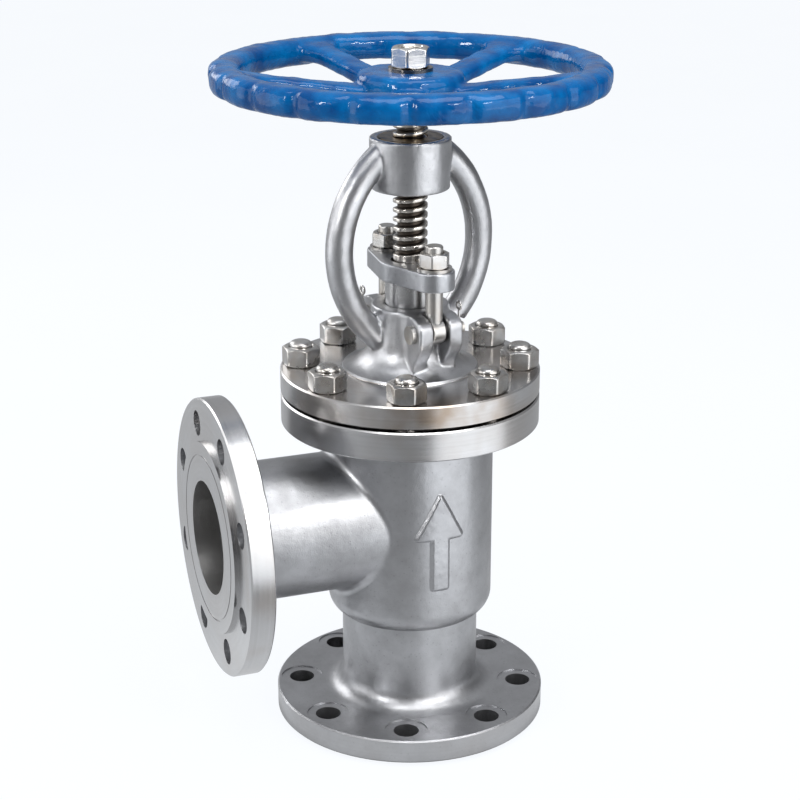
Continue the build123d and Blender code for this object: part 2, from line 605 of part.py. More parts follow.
# ---- disc and its cover nut, which lift but don't turn ---------------------------
DISC_Z = SEAT_Z + SEAT_GAP
DISC_TOP_Z = DISC_Z + DISC_H
DISC_HUB_TOP_Z = DISC_TOP_Z + DISC_HUB_H
POCKET_Z = STEM_HEAD_Z - STEM_HEAD_PLAY
COVER_NUT_Z = STEM_HEAD_Z + STEM_HEAD_H + STEM_HEAD_PLAY
with BuildPart() as disc:
    with BuildSketch(Plane.XZ) as disc_outline:
        with BuildLine():
            Polyline(
                (0, DISC_Z - DISC_PLUG_H), (DISC_PLUG_R - DISC_PLUG_TAPER, DISC_Z - DISC_PLUG_H),
                (DISC_PLUG_R, DISC_Z), (SEAT_R, DISC_Z), (SEAT_R, DISC_Z + DISC_H / 2),
                (DISC_HUB_R + DISC_SLOPE, DISC_TOP_Z), (DISC_HUB_R, DISC_TOP_Z + DISC_SLOPE),
                (DISC_HUB_R, DISC_HUB_TOP_Z), (DISC_POCKET_R, DISC_HUB_TOP_Z),
                (DISC_POCKET_R, POCKET_Z), (0, POCKET_Z), (0, DISC_Z - DISC_PLUG_H),
            )
        make_face()
    revolve(axis=Axis.Z)
save(disc.part, "disc")

with BuildPart() as disc_cover:
    with BuildSketch(Plane.XY.offset(COVER_NUT_Z)):
        Circle(DISC_POCKET_R - RUNNING)
    extrude(amount=DISC_HUB_TOP_Z - COVER_NUT_Z)
    with BuildSketch(Plane.XY.offset(DISC_HUB_TOP_Z)):
        RegularPolygon(COVER_NUT_AF / 2, 6, major_radius=False)
    extrude(amount=COVER_NUT_H)
    with BuildSketch(Plane.XY.offset(COVER_NUT_Z)):
        Circle(STEM_R + RUNNING)
    extrude(amount=DISC_HUB_TOP_Z + COVER_NUT_H - COVER_NUT_Z, mode=Mode.SUBTRACT)
save(disc_cover.part, "disc_cover")

# ---- stem: turns in the nut, carries the handwheel on its square -----------------
with BuildPart() as stem:
    with BuildSketch(Plane.XZ):
        with BuildLine():
            Polyline(
                (0, STEM_HEAD_Z), (STEM_HEAD_R, STEM_HEAD_Z), (STEM_HEAD_R, STEM_HEAD_Z + STEM_HEAD_H),
                (STEM_R, STEM_HEAD_Z + STEM_HEAD_H), (STEM_R, BACKSEAT_Z), (BACKSEAT_R, BACKSEAT_Z),
                (BACKSEAT_R, BACKSEAT_Z + BACKSEAT_H),
                (STEM_R, BACKSEAT_Z + BACKSEAT_H + COLLAR_SLOPE_H),
                (STEM_R, STEM_SHOULDER_Z), (0, STEM_SHOULDER_Z), (0, STEM_HEAD_Z),
            )
        make_face()
    revolve(axis=Axis.Z)
    with BuildSketch(Plane.XY.offset(STEM_SHOULDER_Z)):
        Rectangle(STEM_SQUARE - 2 * RUNNING, STEM_SQUARE - 2 * RUNNING)
        Circle(STEM_R - RUNNING, mode=Mode.INTERSECT)
    extrude(amount=STEM_SQUARE_TOP_Z - STEM_SHOULDER_Z)
    with BuildSketch(Plane.XY.offset(STEM_SQUARE_TOP_Z)):
        Circle(STUD_R)
    extrude(amount=STEM_TOP_Z - STEM_SQUARE_TOP_Z)
    chamfer(stem.edges().group_by(Axis.Z)[-1], EDGE_BREAK)
save(stem.part, "stem")

# ---- handwheel -------------------------------------------------------------------
with BuildPart() as handwheel:
    RIM_R_IN = WHEEL_R - RIM_W
    with BuildSketch(Plane.XZ) as rim_section:
        with BuildLine():
            Polyline(
                (RIM_R_IN, RIM_INNER_Z), (WHEEL_R - RIM_CHAMFER_W, RIM_Z), (WHEEL_R, RIM_Z + RIM_CHAMFER_H),
                (WHEEL_R, RIM_TOP_Z - RIM_TOP_CHAMFER), (WHEEL_R - RIM_TOP_CHAMFER, RIM_TOP_Z),
                (RIM_R_IN, RIM_TOP_Z), (RIM_R_IN, RIM_INNER_Z),
            )
        make_face()
        inner_corners = [corner(rim_section, RIM_R_IN, z) for z in (RIM_INNER_Z, RIM_TOP_Z)]
        fillet(inner_corners, RIM_FILLET)
    revolve(axis=Axis.Z)
    with PolarLocations(WHEEL_R + GRIP_R - GRIP_DEPTH, GRIP_COUNT, start_angle=SPOKE_START):
        with Locations((0, 0, RIM_TOP_Z)):
            Cylinder(GRIP_R, 3 * RIM_W, mode=Mode.SUBTRACT)

    # hub: a wide plate on a narrower boss
    with BuildSketch(Plane.XZ) as hub_section:
        with BuildLine():
            Polyline(
                (0, STEM_SHOULDER_Z), (WHEEL_BOSS_R, STEM_SHOULDER_Z),
                (WHEEL_BOSS_R + HUB_LEDGE_W, WHEEL_HUB_Z),
                (WHEEL_HUB_R + HUB_LIP_W, WHEEL_HUB_Z + HUB_LIP_H), (WHEEL_HUB_R, WHEEL_HUB_TOP_Z),
                (0, WHEEL_HUB_TOP_Z), (0, STEM_SHOULDER_Z),
            )
        make_face()
    revolve(axis=Axis.Z)

    # spokes rise from the hub to the rim
    SPOKE_R0 = WHEEL_BOSS_R - SPOKE_INTO_HUB
    SPOKE_R1 = RIM_R_IN + SPOKE_INTO_RIM
    for spoke in range(SPOKE_COUNT):
        out = Vector(1, 0, 0).rotate(Axis.Z, SPOKE_START + spoke * 360 / SPOKE_COUNT)
        with BuildSketch(lug_plane(out, -SPOKE_W / 2)):
            with BuildLine():
                Polyline(
                    (SPOKE_R0, SPOKE_HUB_Z - SPOKE_T), (SPOKE_R1, SPOKE_RIM_Z - SPOKE_T),
                    (SPOKE_R1, SPOKE_RIM_Z), (SPOKE_R0, SPOKE_HUB_Z), (SPOKE_R0, SPOKE_HUB_Z - SPOKE_T),
                )
            make_face()
        extrude(amount=SPOKE_W)
    with BuildSketch(Plane.XY.offset(STEM_SHOULDER_Z)):
        Rectangle(STEM_SQUARE, STEM_SQUARE)
    extrude(amount=WHEEL_HUB_TOP_Z - STEM_SHOULDER_Z, mode=Mode.SUBTRACT)
save(handwheel.part, "handwheel")

with BuildPart() as handwheel_washer:
    with BuildSketch(Plane.XY.offset(WHEEL_HUB_TOP_Z)):
        Circle(WHEEL_WASHER_R)
        Circle(M16_CLEARANCE_R, mode=Mode.SUBTRACT)
    extrude(amount=WHEEL_WASHER_T)
save(handwheel_washer.part, "handwheel_washer")

save(hex_nut(M16_NUT_AF, WHEEL_NUT_H, STUD_R, WHEEL_HUB_TOP_Z + WHEEL_WASHER_T), "handwheel_nut")
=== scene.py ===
"""Looks of a DN80 angle globe valve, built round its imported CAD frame.

Sections follow the valve from its body casting up to the wheel nut, then the floor,
the lights and the camera.  Lengths are in metres, in the frame's own axes.
"""
import math

import bmesh
import bpy
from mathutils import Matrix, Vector, noise


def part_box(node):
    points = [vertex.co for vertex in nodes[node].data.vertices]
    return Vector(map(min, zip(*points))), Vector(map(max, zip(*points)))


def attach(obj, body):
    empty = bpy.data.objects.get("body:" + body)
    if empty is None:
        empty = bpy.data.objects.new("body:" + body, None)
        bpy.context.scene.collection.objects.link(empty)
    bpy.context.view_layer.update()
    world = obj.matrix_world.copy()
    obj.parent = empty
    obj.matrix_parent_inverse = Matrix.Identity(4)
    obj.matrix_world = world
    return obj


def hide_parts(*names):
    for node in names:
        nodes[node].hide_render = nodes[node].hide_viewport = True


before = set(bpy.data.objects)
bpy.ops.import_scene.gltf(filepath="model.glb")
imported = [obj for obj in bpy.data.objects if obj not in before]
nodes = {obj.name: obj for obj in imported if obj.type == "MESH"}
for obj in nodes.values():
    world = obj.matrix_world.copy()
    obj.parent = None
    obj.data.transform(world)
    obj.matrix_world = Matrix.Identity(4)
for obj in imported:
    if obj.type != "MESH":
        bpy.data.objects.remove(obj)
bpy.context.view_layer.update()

# ---- Valve body -----------------------------------------------------------------
# One sand casting in austenitic stainless steel, glass-bead blasted all over.  The
# pipe flanges, their rims and the cover flange are turned afterwards, so they are
# brighter, with fine lines round them.
BRANCH_Z = 0.155
BLASTED_STEEL = (0.455, 0.46, 0.475, 1)
BLASTED_DARK = (0.34, 0.342, 0.352, 1)
TURNED_STEEL = (0.56, 0.56, 0.565, 1)
TURNED_DARK = (0.52, 0.52, 0.523, 1)
HEAT_STAIN = (0.30, 0.215, 0.14, 1)
ROUGH_BORE_STEEL = (0.42, 0.415, 0.41, 1)
TURNING_LINES = 2600.0
STAIN_FROM_Y, STAIN_FULL_Y = -0.066, -0.088
RAISED_FACE_Z, LOW_RIM_Z, COVER_RIM_Z = 0.0032, 0.0195, 0.2252
RAISED_FACE_X, SIDE_RIM_X = -0.1468, -0.1305
FACE_INNER_R, RIM_INNER_R, COVER_INNER_R = 0.0402, 0.0962, 0.052
ROUGH_BORE_R, ROUGH_BORE_X, ROUGH_BORE_Z = 0.0405, -0.05, 0.099


def node_tools(tree):
    """Short ways to add nodes, maths and links in one node tree."""

    def add(kind, **settings):
        node = tree.nodes.new(kind)
        for name, value in settings.items():
            setattr(node, name, value)
        return node

    def plug(value, socket):
        if isinstance(value, bpy.types.NodeSocket):
            tree.links.new(value, socket)
        elif value is not None:
            socket.default_value = value

    def maths(operation, a, b=None, c=None):
        node = add("ShaderNodeMath", operation=operation)
        for socket, value in zip(node.inputs, (a, b, c)):
            plug(value, socket)
        return node.outputs[0]

    return add, plug, maths


def new_group(name, inputs, outputs, kind="ShaderNodeTree"):
    """A node group with named inputs and outputs; each entry is a name and a socket type."""
    group = bpy.data.node_groups.new(name, kind)
    for label, socket_type in inputs:
        group.interface.new_socket(label, in_out="INPUT", socket_type="NodeSocket" + socket_type)
    for label, socket_type in outputs:
        group.interface.new_socket(label, in_out="OUTPUT", socket_type="NodeSocket" + socket_type)
    return group, group.nodes.new("NodeGroupInput").outputs, group.nodes.new("NodeGroupOutput").inputs


def make_blasted_skin():
    """Bead-blasted cast skin: fine grain, shallow waves, soft clouds and small pits."""
    group, given, result = new_group(
        "blasted_skin",
        [("Vector", "Vector")],
        [("Height", "Float"), ("Cloud", "Float"), ("Pit", "Float")],
    )
    add, plug, maths = node_tools(group)

    def layer(scale, detail, rough=0.5):
        texture = add("ShaderNodeTexNoise")
        plug(given["Vector"], texture.inputs["Vector"])
        texture.inputs["Scale"].default_value = scale
        texture.inputs["Detail"].default_value = detail
        texture.inputs["Roughness"].default_value = rough
        return texture.outputs["Fac"]

    pits = add("ShaderNodeTexVoronoi")
    plug(given["Vector"], pits.inputs["Vector"])
    pits.inputs["Scale"].default_value = 260
    pit = add("ShaderNodeMapRange")
    plug(pits.outputs["Distance"], pit.inputs["Value"])
    for socket, value in (("From Min", 0.04), ("From Max", 0.2), ("To Min", 1.0), ("To Max", 0.0)):
        pit.inputs[socket].default_value = value
    cloud = add("ShaderNodeMapRange")
    plug(layer(30, 5, 0.65), cloud.inputs["Value"])
    cloud.inputs["From Min"].default_value = 0.33
    cloud.inputs["From Max"].default_value = 0.67
    height = maths("MULTIPLY_ADD", layer(75, 2), 3.6, layer(1300, 3))
    height = maths("MULTIPLY_ADD", layer(240, 2), 0.9, height)
    height = maths("MULTIPLY_ADD", pit.outputs["Result"], -0.35, height)
    plug(height, result["Height"])
    plug(cloud.outputs["Result"], result["Cloud"])
    plug(pit.outputs["Result"], result["Pit"])
    return group


def make_turned_lines():
    """Fine turning lines from one value, the distance across the cut."""
    group, given, result = new_group(
        "turned_lines",
        [("Across", "Float"), ("Lines Per Metre", "Float")],
        [("Height", "Float"), ("Shine", "Float")],
    )
    add, plug, maths = node_tools(group)
    scaled = maths("MULTIPLY", given["Across"], given["Lines Per Metre"])

    def layer(scale, detail):
        texture = add("ShaderNodeTexNoise", noise_dimensions="1D")
        plug(scaled, texture.inputs["W"])
        texture.inputs["Scale"].default_value = scale
        texture.inputs["Detail"].default_value = detail
        return texture.outputs["Fac"]

    broad = layer(0.13, 1)
    plug(maths("MULTIPLY_ADD", broad, 0.6, layer(1.0, 2)), result["Height"])
    plug(broad, result["Shine"])
    return group


blasted_skin = make_blasted_skin()
turned_lines = make_turned_lines()


class Finish:
    """A material in the making: its shader, its place sockets and short ways to add to them."""

    def __init__(self, name, **constants):
        self.material = bpy.data.materials.new(name)
        self.material.use_nodes = True
        tree = self.material.node_tree
        self.add, self.plug, self.maths = node_tools(tree)
        self.shader = tree.nodes["Principled BSDF"]
        for socket, value in constants.items():
            self.shader.inputs[socket.replace("_", " ")].default_value = value
        self.place = self.add("ShaderNodeTexCoord").outputs["Object"]
        axes = self.add("ShaderNodeSeparateXYZ")
        self.plug(self.place, axes.inputs[0])
        self.x, self.y, self.z = axes.outputs

    def group(self, tree, **inputs):
        node = self.add("ShaderNodeGroup", node_tree=tree)
        for name, value in inputs.items():
            self.plug(value, node.inputs[name.replace("_", " ")])
        return node.outputs

    def noise(self, scale, detail=2.0, vector=None):
        texture = self.add("ShaderNodeTexNoise")
        self.plug(vector or self.place, texture.inputs["Vector"])
        texture.inputs["Scale"].default_value = scale
        texture.inputs["Detail"].default_value = detail
        return texture.outputs["Fac"]

    def mix(self, factor, a, b):
        node = self.add("ShaderNodeMix", data_type="RGBA")
        for name, value in (("Factor_Float", factor), ("A_Color", a), ("B_Color", b)):
            self.plug(value, next(s for s in node.inputs if s.identifier == name))
        return node.outputs[2]

    def ramp(self, value, low, high):
        """0 up to low, 1 from high, straight between them."""
        node = self.add("ShaderNodeMapRange")
        self.plug(value, node.inputs["Value"])
        node.inputs["From Min"].default_value = low
        node.inputs["From Max"].default_value = high
        return node.outputs["Result"]

    def blend(self, factor, a, b):
        """a where factor is 0, b where it is 1."""
        rest = self.maths("MULTIPLY", self.maths("SUBTRACT", 1, factor), a)
        return self.maths("MULTIPLY_ADD", factor, b, rest)

    def both(self, *masks):
        result = masks[0]
        for mask in masks[1:]:
            result = self.maths("MULTIPLY", result, mask)
        return result

    def either(self, *masks):
        result = masks[0]
        for mask in masks[1:]:
            result = self.maths("MAXIMUM", result, mask)
        return result

    def above(self, value, limit):
        return self.maths("GREATER_THAN", value, limit)

    def below(self, value, limit):
        return self.maths("LESS_THAN", value, limit)

    def radius(self, a, b):
        return self.maths("SQRT", self.maths("MULTIPLY_ADD", a, a, self.maths("MULTIPLY", b, b)))

    def bump(self, height, depth, strength=1.0):
        node = self.add("ShaderNodeBump")
        node.inputs["Strength"].default_value = strength
        node.inputs["Distance"].default_value = depth
        self.plug(height, node.inputs["Height"])
        self.plug(node.outputs["Normal"], self.shader.inputs["Normal"])

    def set(self, **sockets):
        for name, value in sockets.items():
            self.plug(value, self.shader.inputs[name.replace("_", " ")])

    def brushed_round(self, amount, sideways=None):
        """Stretches reflections round the stem axis, or round the branch axis where sideways is 1."""
        tangent = self.add("ShaderNodeCombineXYZ")
        self.plug(self.maths("MULTIPLY", self.y, -1), tangent.inputs[0])
        self.plug(self.x, tangent.inputs[1])
        direction = tangent.outputs[0]
        if sideways is not None:
            round_branch = self.add("ShaderNodeCombineXYZ")
            self.plug(self.maths("SUBTRACT", BRANCH_Z, self.z), round_branch.inputs[1])
            self.plug(self.y, round_branch.inputs[2])
            chosen = self.add("ShaderNodeMix", data_type="VECTOR")
            self.plug(sideways, chosen.inputs[0])
            self.plug(direction, chosen.inputs[4])
            self.plug(round_branch.outputs[0], chosen.inputs[5])
            direction = chosen.outputs[1]
        turned = self.add("ShaderNodeVectorTransform", vector_type="VECTOR")
        turned.convert_from = "OBJECT"
        turned.convert_to = "WORLD"
        self.plug(direction, turned.inputs[0])
        self.set(Anisotropic=amount, Tangent=turned.outputs[0])


def steel_casting(name, machined_zone, light=BLASTED_STEEL, dark=BLASTED_DARK, stain=0.0):
    """Blasted casting; machined_zone gives the turned areas as masks and a distance across the cut."""
    steel = Finish(name, Metallic=1.0)
    skin = steel.group(blasted_skin, Vector=steel.place)
    mask, across, sideways, rough_bore = machined_zone(steel)
    lines = steel.group(turned_lines, Across=across, Lines_Per_Metre=TURNING_LINES)
    cast = steel.mix(skin["Cloud"], dark, light)
    pit_colour = tuple(0.5 * c for c in dark[:3]) + (1,)
    cast = steel.mix(steel.maths("MULTIPLY", skin["Pit"], 0.35), cast, pit_colour)
    if rough_bore is not None:
        cast = steel.mix(rough_bore, cast, ROUGH_BORE_STEEL)
    turned = steel.mix(steel.ramp(lines["Shine"], 0.3, 0.7), TURNED_DARK, TURNED_STEEL)
    if stain:
        patch = steel.ramp(steel.noise(22, 3), 0.42, 0.62)
        front = steel.ramp(steel.y, STAIN_FROM_Y, STAIN_FULL_Y)
        strength = steel.maths("MULTIPLY_ADD", front, 0.6 * stain, 0.4 * stain)
        turned = steel.mix(steel.maths("MULTIPLY", patch, strength), turned, HEAT_STAIN)
    cast_rough = steel.maths("MULTIPLY_ADD", skin["Cloud"], -0.10, 0.42)
    turned_rough = steel.maths("MULTIPLY_ADD", lines["Shine"], 0.08, 0.20)
    steel.set(Base_Color=steel.mix(mask, cast, turned))
    steel.set(Roughness=steel.blend(mask, cast_rough, turned_rough))
    line_height = steel.maths("MULTIPLY", lines["Height"], 0.03)
    steel.bump(steel.blend(mask, skin["Height"], line_height), 0.00011)
    steel.brushed_round(steel.maths("MULTIPLY", mask, 0.55), sideways)
    return steel.material


def body_machined(steel):
    """Both pipe flanges' rims and faces, and the cover flange's rim and top."""
    across_stem = steel.radius(steel.x, steel.y)
    across_branch = steel.radius(steel.y, steel.maths("SUBTRACT", steel.z, BRANCH_Z))
    low_face = steel.both(steel.below(steel.z, RAISED_FACE_Z), steel.above(across_stem, FACE_INNER_R))
    low_rim = steel.both(steel.below(steel.z, LOW_RIM_Z), steel.above(across_stem, RIM_INNER_R))
    low_rim = steel.maths("MULTIPLY", low_rim, 0.35)
    top_rim = steel.both(steel.above(steel.z, COVER_RIM_Z), steel.above(across_stem, COVER_INNER_R))
    side_face = steel.both(steel.below(steel.x, RAISED_FACE_X), steel.above(across_branch, FACE_INNER_R))
    side_rim = steel.both(steel.below(steel.x, SIDE_RIM_X), steel.above(across_branch, RIM_INNER_R))
    side = steel.either(side_face, side_rim)
    stem_lines = steel.maths("ADD", across_stem, steel.z)
    branch_lines = steel.maths("ADD", across_branch, steel.x)
    in_branch = steel.both(steel.below(across_branch, ROUGH_BORE_R), steel.below(steel.x, ROUGH_BORE_X))
    in_inlet = steel.both(steel.below(across_stem, ROUGH_BORE_R), steel.below(steel.z, ROUGH_BORE_Z))
    turned = steel.either(low_face, low_rim, top_rim, side)
    return turned, steel.blend(side, stem_lines, branch_lines), side, steel.either(in_branch, in_inlet)


def set_material(node_name, material):
    """Give a CAD node its finish."""
    mesh = nodes[node_name].data
    mesh.materials.clear()
    mesh.materials.append(material)


body_casting = steel_casting("blasted_body_casting", body_machined, stain=0.25)
for solid in ("valve_body", "inlet_end", "outlet_end"):
    set_material(solid, body_casting)

# ---- Flow arrow -----------------------------------------------------------------
# Cast with the body, raised from a pattern letter, so its edges are soft and its
# sides lean back to the barrel.  It points up through the seat.
ARROW_LOW, ARROW_NECK, ARROW_TIP = 0.118, 0.156, 0.186
ARROW_HALF, ARROW_HEAD_HALF = 0.005, 0.016
ARROW_RISE = 0.0023
ARROW_LEAN = 0.0030
ARROW_STEP = 0.0006
BARREL_R = 0.059


def plain_piece(name, bm, material, smooth_angle=None):
    """A finished mesh piece at the origin, its faces turned outward."""
    bmesh.ops.remove_doubles(bm, verts=bm.verts, dist=1e-6)
    bmesh.ops.recalc_face_normals(bm, faces=bm.faces)
    mesh = bpy.data.meshes.new(name)
    bm.to_mesh(mesh)
    bm.free()
    old_normals = mesh.attributes.get("custom_normal")
    if old_normals:
        mesh.attributes.remove(old_normals)
    mesh.materials.append(material)
    mesh.shade_smooth()
    if smooth_angle:
        mesh.set_sharp_from_angle(angle=math.radians(smooth_angle))
    piece = bpy.data.objects.new(name, mesh)
    bpy.context.scene.collection.objects.link(piece)
    return piece


def outside_polygon(x, z, corners):
    """Distance from a point to a closed outline, 0 inside it."""
    inside = False
    nearest = 1.0
    for (x0, z0), (x1, z1) in zip(corners, corners[1:] + corners[:1]):
        if (z0 > z) != (z1 > z) and x < (x1 - x0) * (z - z0) / (z1 - z0) + x0:
            inside = not inside
        edge = Vector((x1 - x0, z1 - z0))
        along = max(0.0, min(1.0, Vector((x - x0, z - z0)).dot(edge) / edge.length_squared))
        nearest = min(nearest, math.hypot(x - x0 - along * edge.x, z - z0 - along * edge.y))
    return 0.0 if inside else nearest


def soft_step(value):
    value = max(0.0, min(1.0, value))
    return value * value * (3 - 2 * value)


def flow_arrow():
    corners = [
        (-ARROW_HALF, ARROW_LOW), (ARROW_HALF, ARROW_LOW), (ARROW_HALF, ARROW_NECK),
        (ARROW_HEAD_HALF, ARROW_NECK), (0, ARROW_TIP), (-ARROW_HEAD_HALF, ARROW_NECK),
        (-ARROW_HALF, ARROW_NECK),
    ]
    reach = ARROW_LEAN + 0.0015
    columns = int((2 * (ARROW_HEAD_HALF + reach)) / ARROW_STEP)
    rows = int((ARROW_TIP - ARROW_LOW + 2 * reach) / ARROW_STEP)
    bm = bmesh.new()
    grid = []
    for row in range(rows + 1):
        z = ARROW_LOW - reach + row * ARROW_STEP
        line = []
        for column in range(columns + 1):
            x = -ARROW_HEAD_HALF - reach + column * ARROW_STEP
            rise = ARROW_RISE * (1 - soft_step(outside_polygon(x, z, corners) / ARROW_LEAN)) - 0.0002
            rise += 0.00012 * noise.noise(Vector((x, 0, z)) * 260)
            line.append(bm.verts.new((x, -math.sqrt((BARREL_R + rise) ** 2 - x * x), z)))
        grid.append(line)
    for low, high in zip(grid, grid[1:]):
        for a, b, c, d in zip(low, low[1:], high[1:], high):
            bm.faces.new((a, b, c, d))
    edge = [e for e in bm.edges if e.is_boundary]
    inward = bmesh.ops.extrude_edge_only(bm, edges=edge)["geom"]
    for vertex in (g for g in inward if isinstance(g, bmesh.types.BMVert)):
        vertex.co.y += 0.004
    bmesh.ops.holes_fill(bm, edges=[e for e in bm.edges if e.is_boundary])
    return plain_piece("flow_arrow", bm, body_casting)


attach(flow_arrow(), "root")

# ---- Bonnet gasket --------------------------------------------------------------
# A flat graphite-faced ring.  Only its edge can be seen, as the dark line between
# the two cover flanges.


def graphite():
    carbon = Finish("graphite", Specular_IOR_Level=0.3)
    braid = carbon.add("ShaderNodeTexVoronoi")
    carbon.plug(carbon.place, braid.inputs["Vector"])
    braid.inputs["Scale"].default_value = 700
    weave = braid.outputs["Distance"]
    carbon.set(Base_Color=carbon.mix(weave, (0.02, 0.02, 0.022, 1), (0.06, 0.06, 0.065, 1)))
    carbon.set(Roughness=carbon.maths("MULTIPLY_ADD", weave, 0.3, 0.55))
    carbon.bump(weave, 0.0003, 0.6)
    return carbon.material


graphite_finish = graphite()
set_material("bonnet_gasket", graphite_finish)

# ---- Bonnet ---------------------------------------------------------------------
# A second casting in the same steel: cover flange, stuffing box, lugs and round-arm
# yoke.  Sand-cast above the flange, so every inside corner there is a soft fillet;
# the flange itself is turned, and stained by heat round its nuts.
FLANGE_CUT_Z = 0.26606
CASTING_OVERLAP = 0.0015
TURNED_TOP_Z, TURNED_INNER_R = 0.2647, 0.040
HEAD_FACE_Z, HEAD_FACE_R = 0.4258, 0.0275
CAST_GRAIN = 0.00095


def cad_copy(node_name):
    """A CAD node's mesh as a bmesh, its doubled vertices merged."""
    bm = bmesh.new()
    bm.from_mesh(nodes[node_name].data)
    bmesh.ops.remove_doubles(bm, verts=bm.verts, dist=2e-6)
    return bm


def keep_side(bm, height, upper):
    """Cuts a closed mesh level at a height, keeps one side and caps the cut."""
    cut = bmesh.ops.bisect_plane(
        bm,
        geom=bm.verts[:] + bm.edges[:] + bm.faces[:],
        plane_co=(0, 0, height),
        plane_no=(0, 0, 1),
        clear_inner=upper,
        clear_outer=not upper,
    )
    rim = [g for g in cut["geom_cut"] if isinstance(g, bmesh.types.BMEdge)]
    bmesh.ops.triangle_fill(bm, edges=rim, use_beauty=True)


def remelted(name, bm, grain, passes, lump=0.0, lump_scale=100.0, lump_free=None):
    """Fuses solids into one skin of even grain, softens its corners and makes it uneven."""
    mesh = bpy.data.meshes.new(name + "_rough")
    bm.to_mesh(mesh)
    bm.free()
    rough = bpy.data.objects.new(name + "_rough", mesh)
    bpy.context.scene.collection.objects.link(rough)
    fuse = rough.modifiers.new("fuse", "REMESH")
    fuse.mode = "VOXEL"
    fuse.voxel_size = grain
    soften = rough.modifiers.new("soften", "SMOOTH")
    soften.factor = 0.5
    soften.iterations = passes
    shape = rough.evaluated_get(bpy.context.evaluated_depsgraph_get())
    fused = bpy.data.meshes.new_from_object(shape)
    bpy.data.objects.remove(rough)
    result = bmesh.new()
    result.from_mesh(fused)
    bpy.data.meshes.remove(fused)
    result.normal_update()
    if lump:
        moves = []
        for vertex in result.verts:
            free = 1.0 if lump_free is None else lump_free(vertex.co)
            swell = noise.noise(vertex.co * lump_scale) + 0.35 * noise.noise(vertex.co * lump_scale * 3.1)
            moves.append(vertex.normal * lump * free * swell)
        for vertex, move in zip(result.verts, moves):
            vertex.co += move
    return result


def bonnet_machined(steel):
    across_stem = steel.radius(steel.x, steel.y)
    flange = steel.both(steel.below(steel.z, TURNED_TOP_Z), steel.above(across_stem, TURNED_INNER_R))
    head = steel.both(steel.above(steel.z, HEAD_FACE_Z), steel.below(across_stem, HEAD_FACE_R))
    return steel.either(flange, head), steel.maths("ADD", across_stem, steel.z), None, None


def bonnet():
    flange = cad_copy("bonnet")
    keep_side(flange, FLANGE_CUT_Z, upper=False)
    casting = cad_copy("bonnet")
    keep_side(casting, FLANGE_CUT_Z - CASTING_OVERLAP, upper=True)
    casting = remelted("bonnet_casting", casting, CAST_GRAIN, 7, lump=0.00022, lump_scale=70)
    part = bpy.data.meshes.new("bonnet_part")
    casting.to_mesh(part)
    casting.free()
    flange.from_mesh(part)
    bpy.data.meshes.remove(part)
    material = steel_casting("blasted_bonnet_casting", bonnet_machined, stain=0.75)
    return plain_piece("bonnet_looks", flange, material, smooth_angle=38)


bonnet_piece = bonnet()
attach(bonnet_piece, "root")
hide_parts("bonnet")

# ---- Back-seat bush and packing -------------------------------------------------
# A turned stainless bush and washer, with four braided graphite rings above them.
# They are inside the stuffing box, out of sight unless the valve is taken apart.
STRAW_STAIN = (0.36, 0.27, 0.185, 1)


def bright_steel(name, light, dark, rough, warm=0.0, lines_per_metre=TURNING_LINES):
    """Bright turned or tumbled bar: fine lines round it, slight cloudiness and straw staining."""
    bar = Finish(name, Metallic=1.0)
    lines = bar.group(turned_lines, Across=bar.z, Lines_Per_Metre=lines_per_metre)
    skin = bar.group(blasted_skin, Vector=bar.place)
    tone = bar.mix(skin["Cloud"], dark, light)
    patch = bar.ramp(bar.noise(110, 3), 0.42, 0.66)
    colour = bar.mix(bar.maths("MULTIPLY", patch, warm), tone, STRAW_STAIN)
    bar.set(Base_Color=colour, Roughness=bar.maths("MULTIPLY_ADD", skin["Cloud"], 0.12, rough))
    bar.bump(bar.maths("MULTIPLY_ADD", skin["Height"], 0.22, lines["Height"]), 0.000035)
    return bar.material


bright_bar = bright_steel("bright_turned_bar", (0.66, 0.65, 0.63, 1), (0.5, 0.49, 0.475, 1), 0.16)
for hidden in ("backseat_bush", "packing_washer"):
    set_material(hidden, bright_bar)
for number in range(1, 5):
    set_material(f"packing_ring_{number}", graphite_finish)

# ---- Cover studs ----------------------------------------------------------------
# Eight M16 stainless studs screwed into the body, their ends rounded and a turn or
# two of thread showing above each nut.
STUD_CIRCLE = 0.0765
STUD_R = 0.008
STUD_LOW, STUD_TOP, STUD_DOME = 0.227, 0.281, 0.0030
STUD_PITCH = 0.002
STUD_ROOT, STUD_CREST = 0.0009, 0.0001
M16_FLATS = 0.024
NUT_SEAT_Z = 0.2642
COVER_NUT_H = 0.013


def polar_solid(rings, segments, hollow=False):
    """A closed mesh from rings of (radius, z); a radius may be a function of the angle."""
    bm = bmesh.new()
    angles = [2 * math.pi * k / segments for k in range(segments)]
    loops = []
    for radius, z in rings:
        reach = radius if callable(radius) else (lambda angle, r=radius: r)
        loops.append([bm.verts.new((reach(a) * math.cos(a), reach(a) * math.sin(a), z)) for a in angles])
    pairs = list(zip(loops, loops[1:] + loops[:1])) if hollow else list(zip(loops, loops[1:]))
    for low, high in pairs:
        for k in range(segments):
            following = (k + 1) % segments
            bm.faces.new((low[k], low[following], high[following], high[k]))
    if not hollow:
        bm.faces.new(loops[0][::-1])
        bm.faces.new(loops[-1])
    return bm


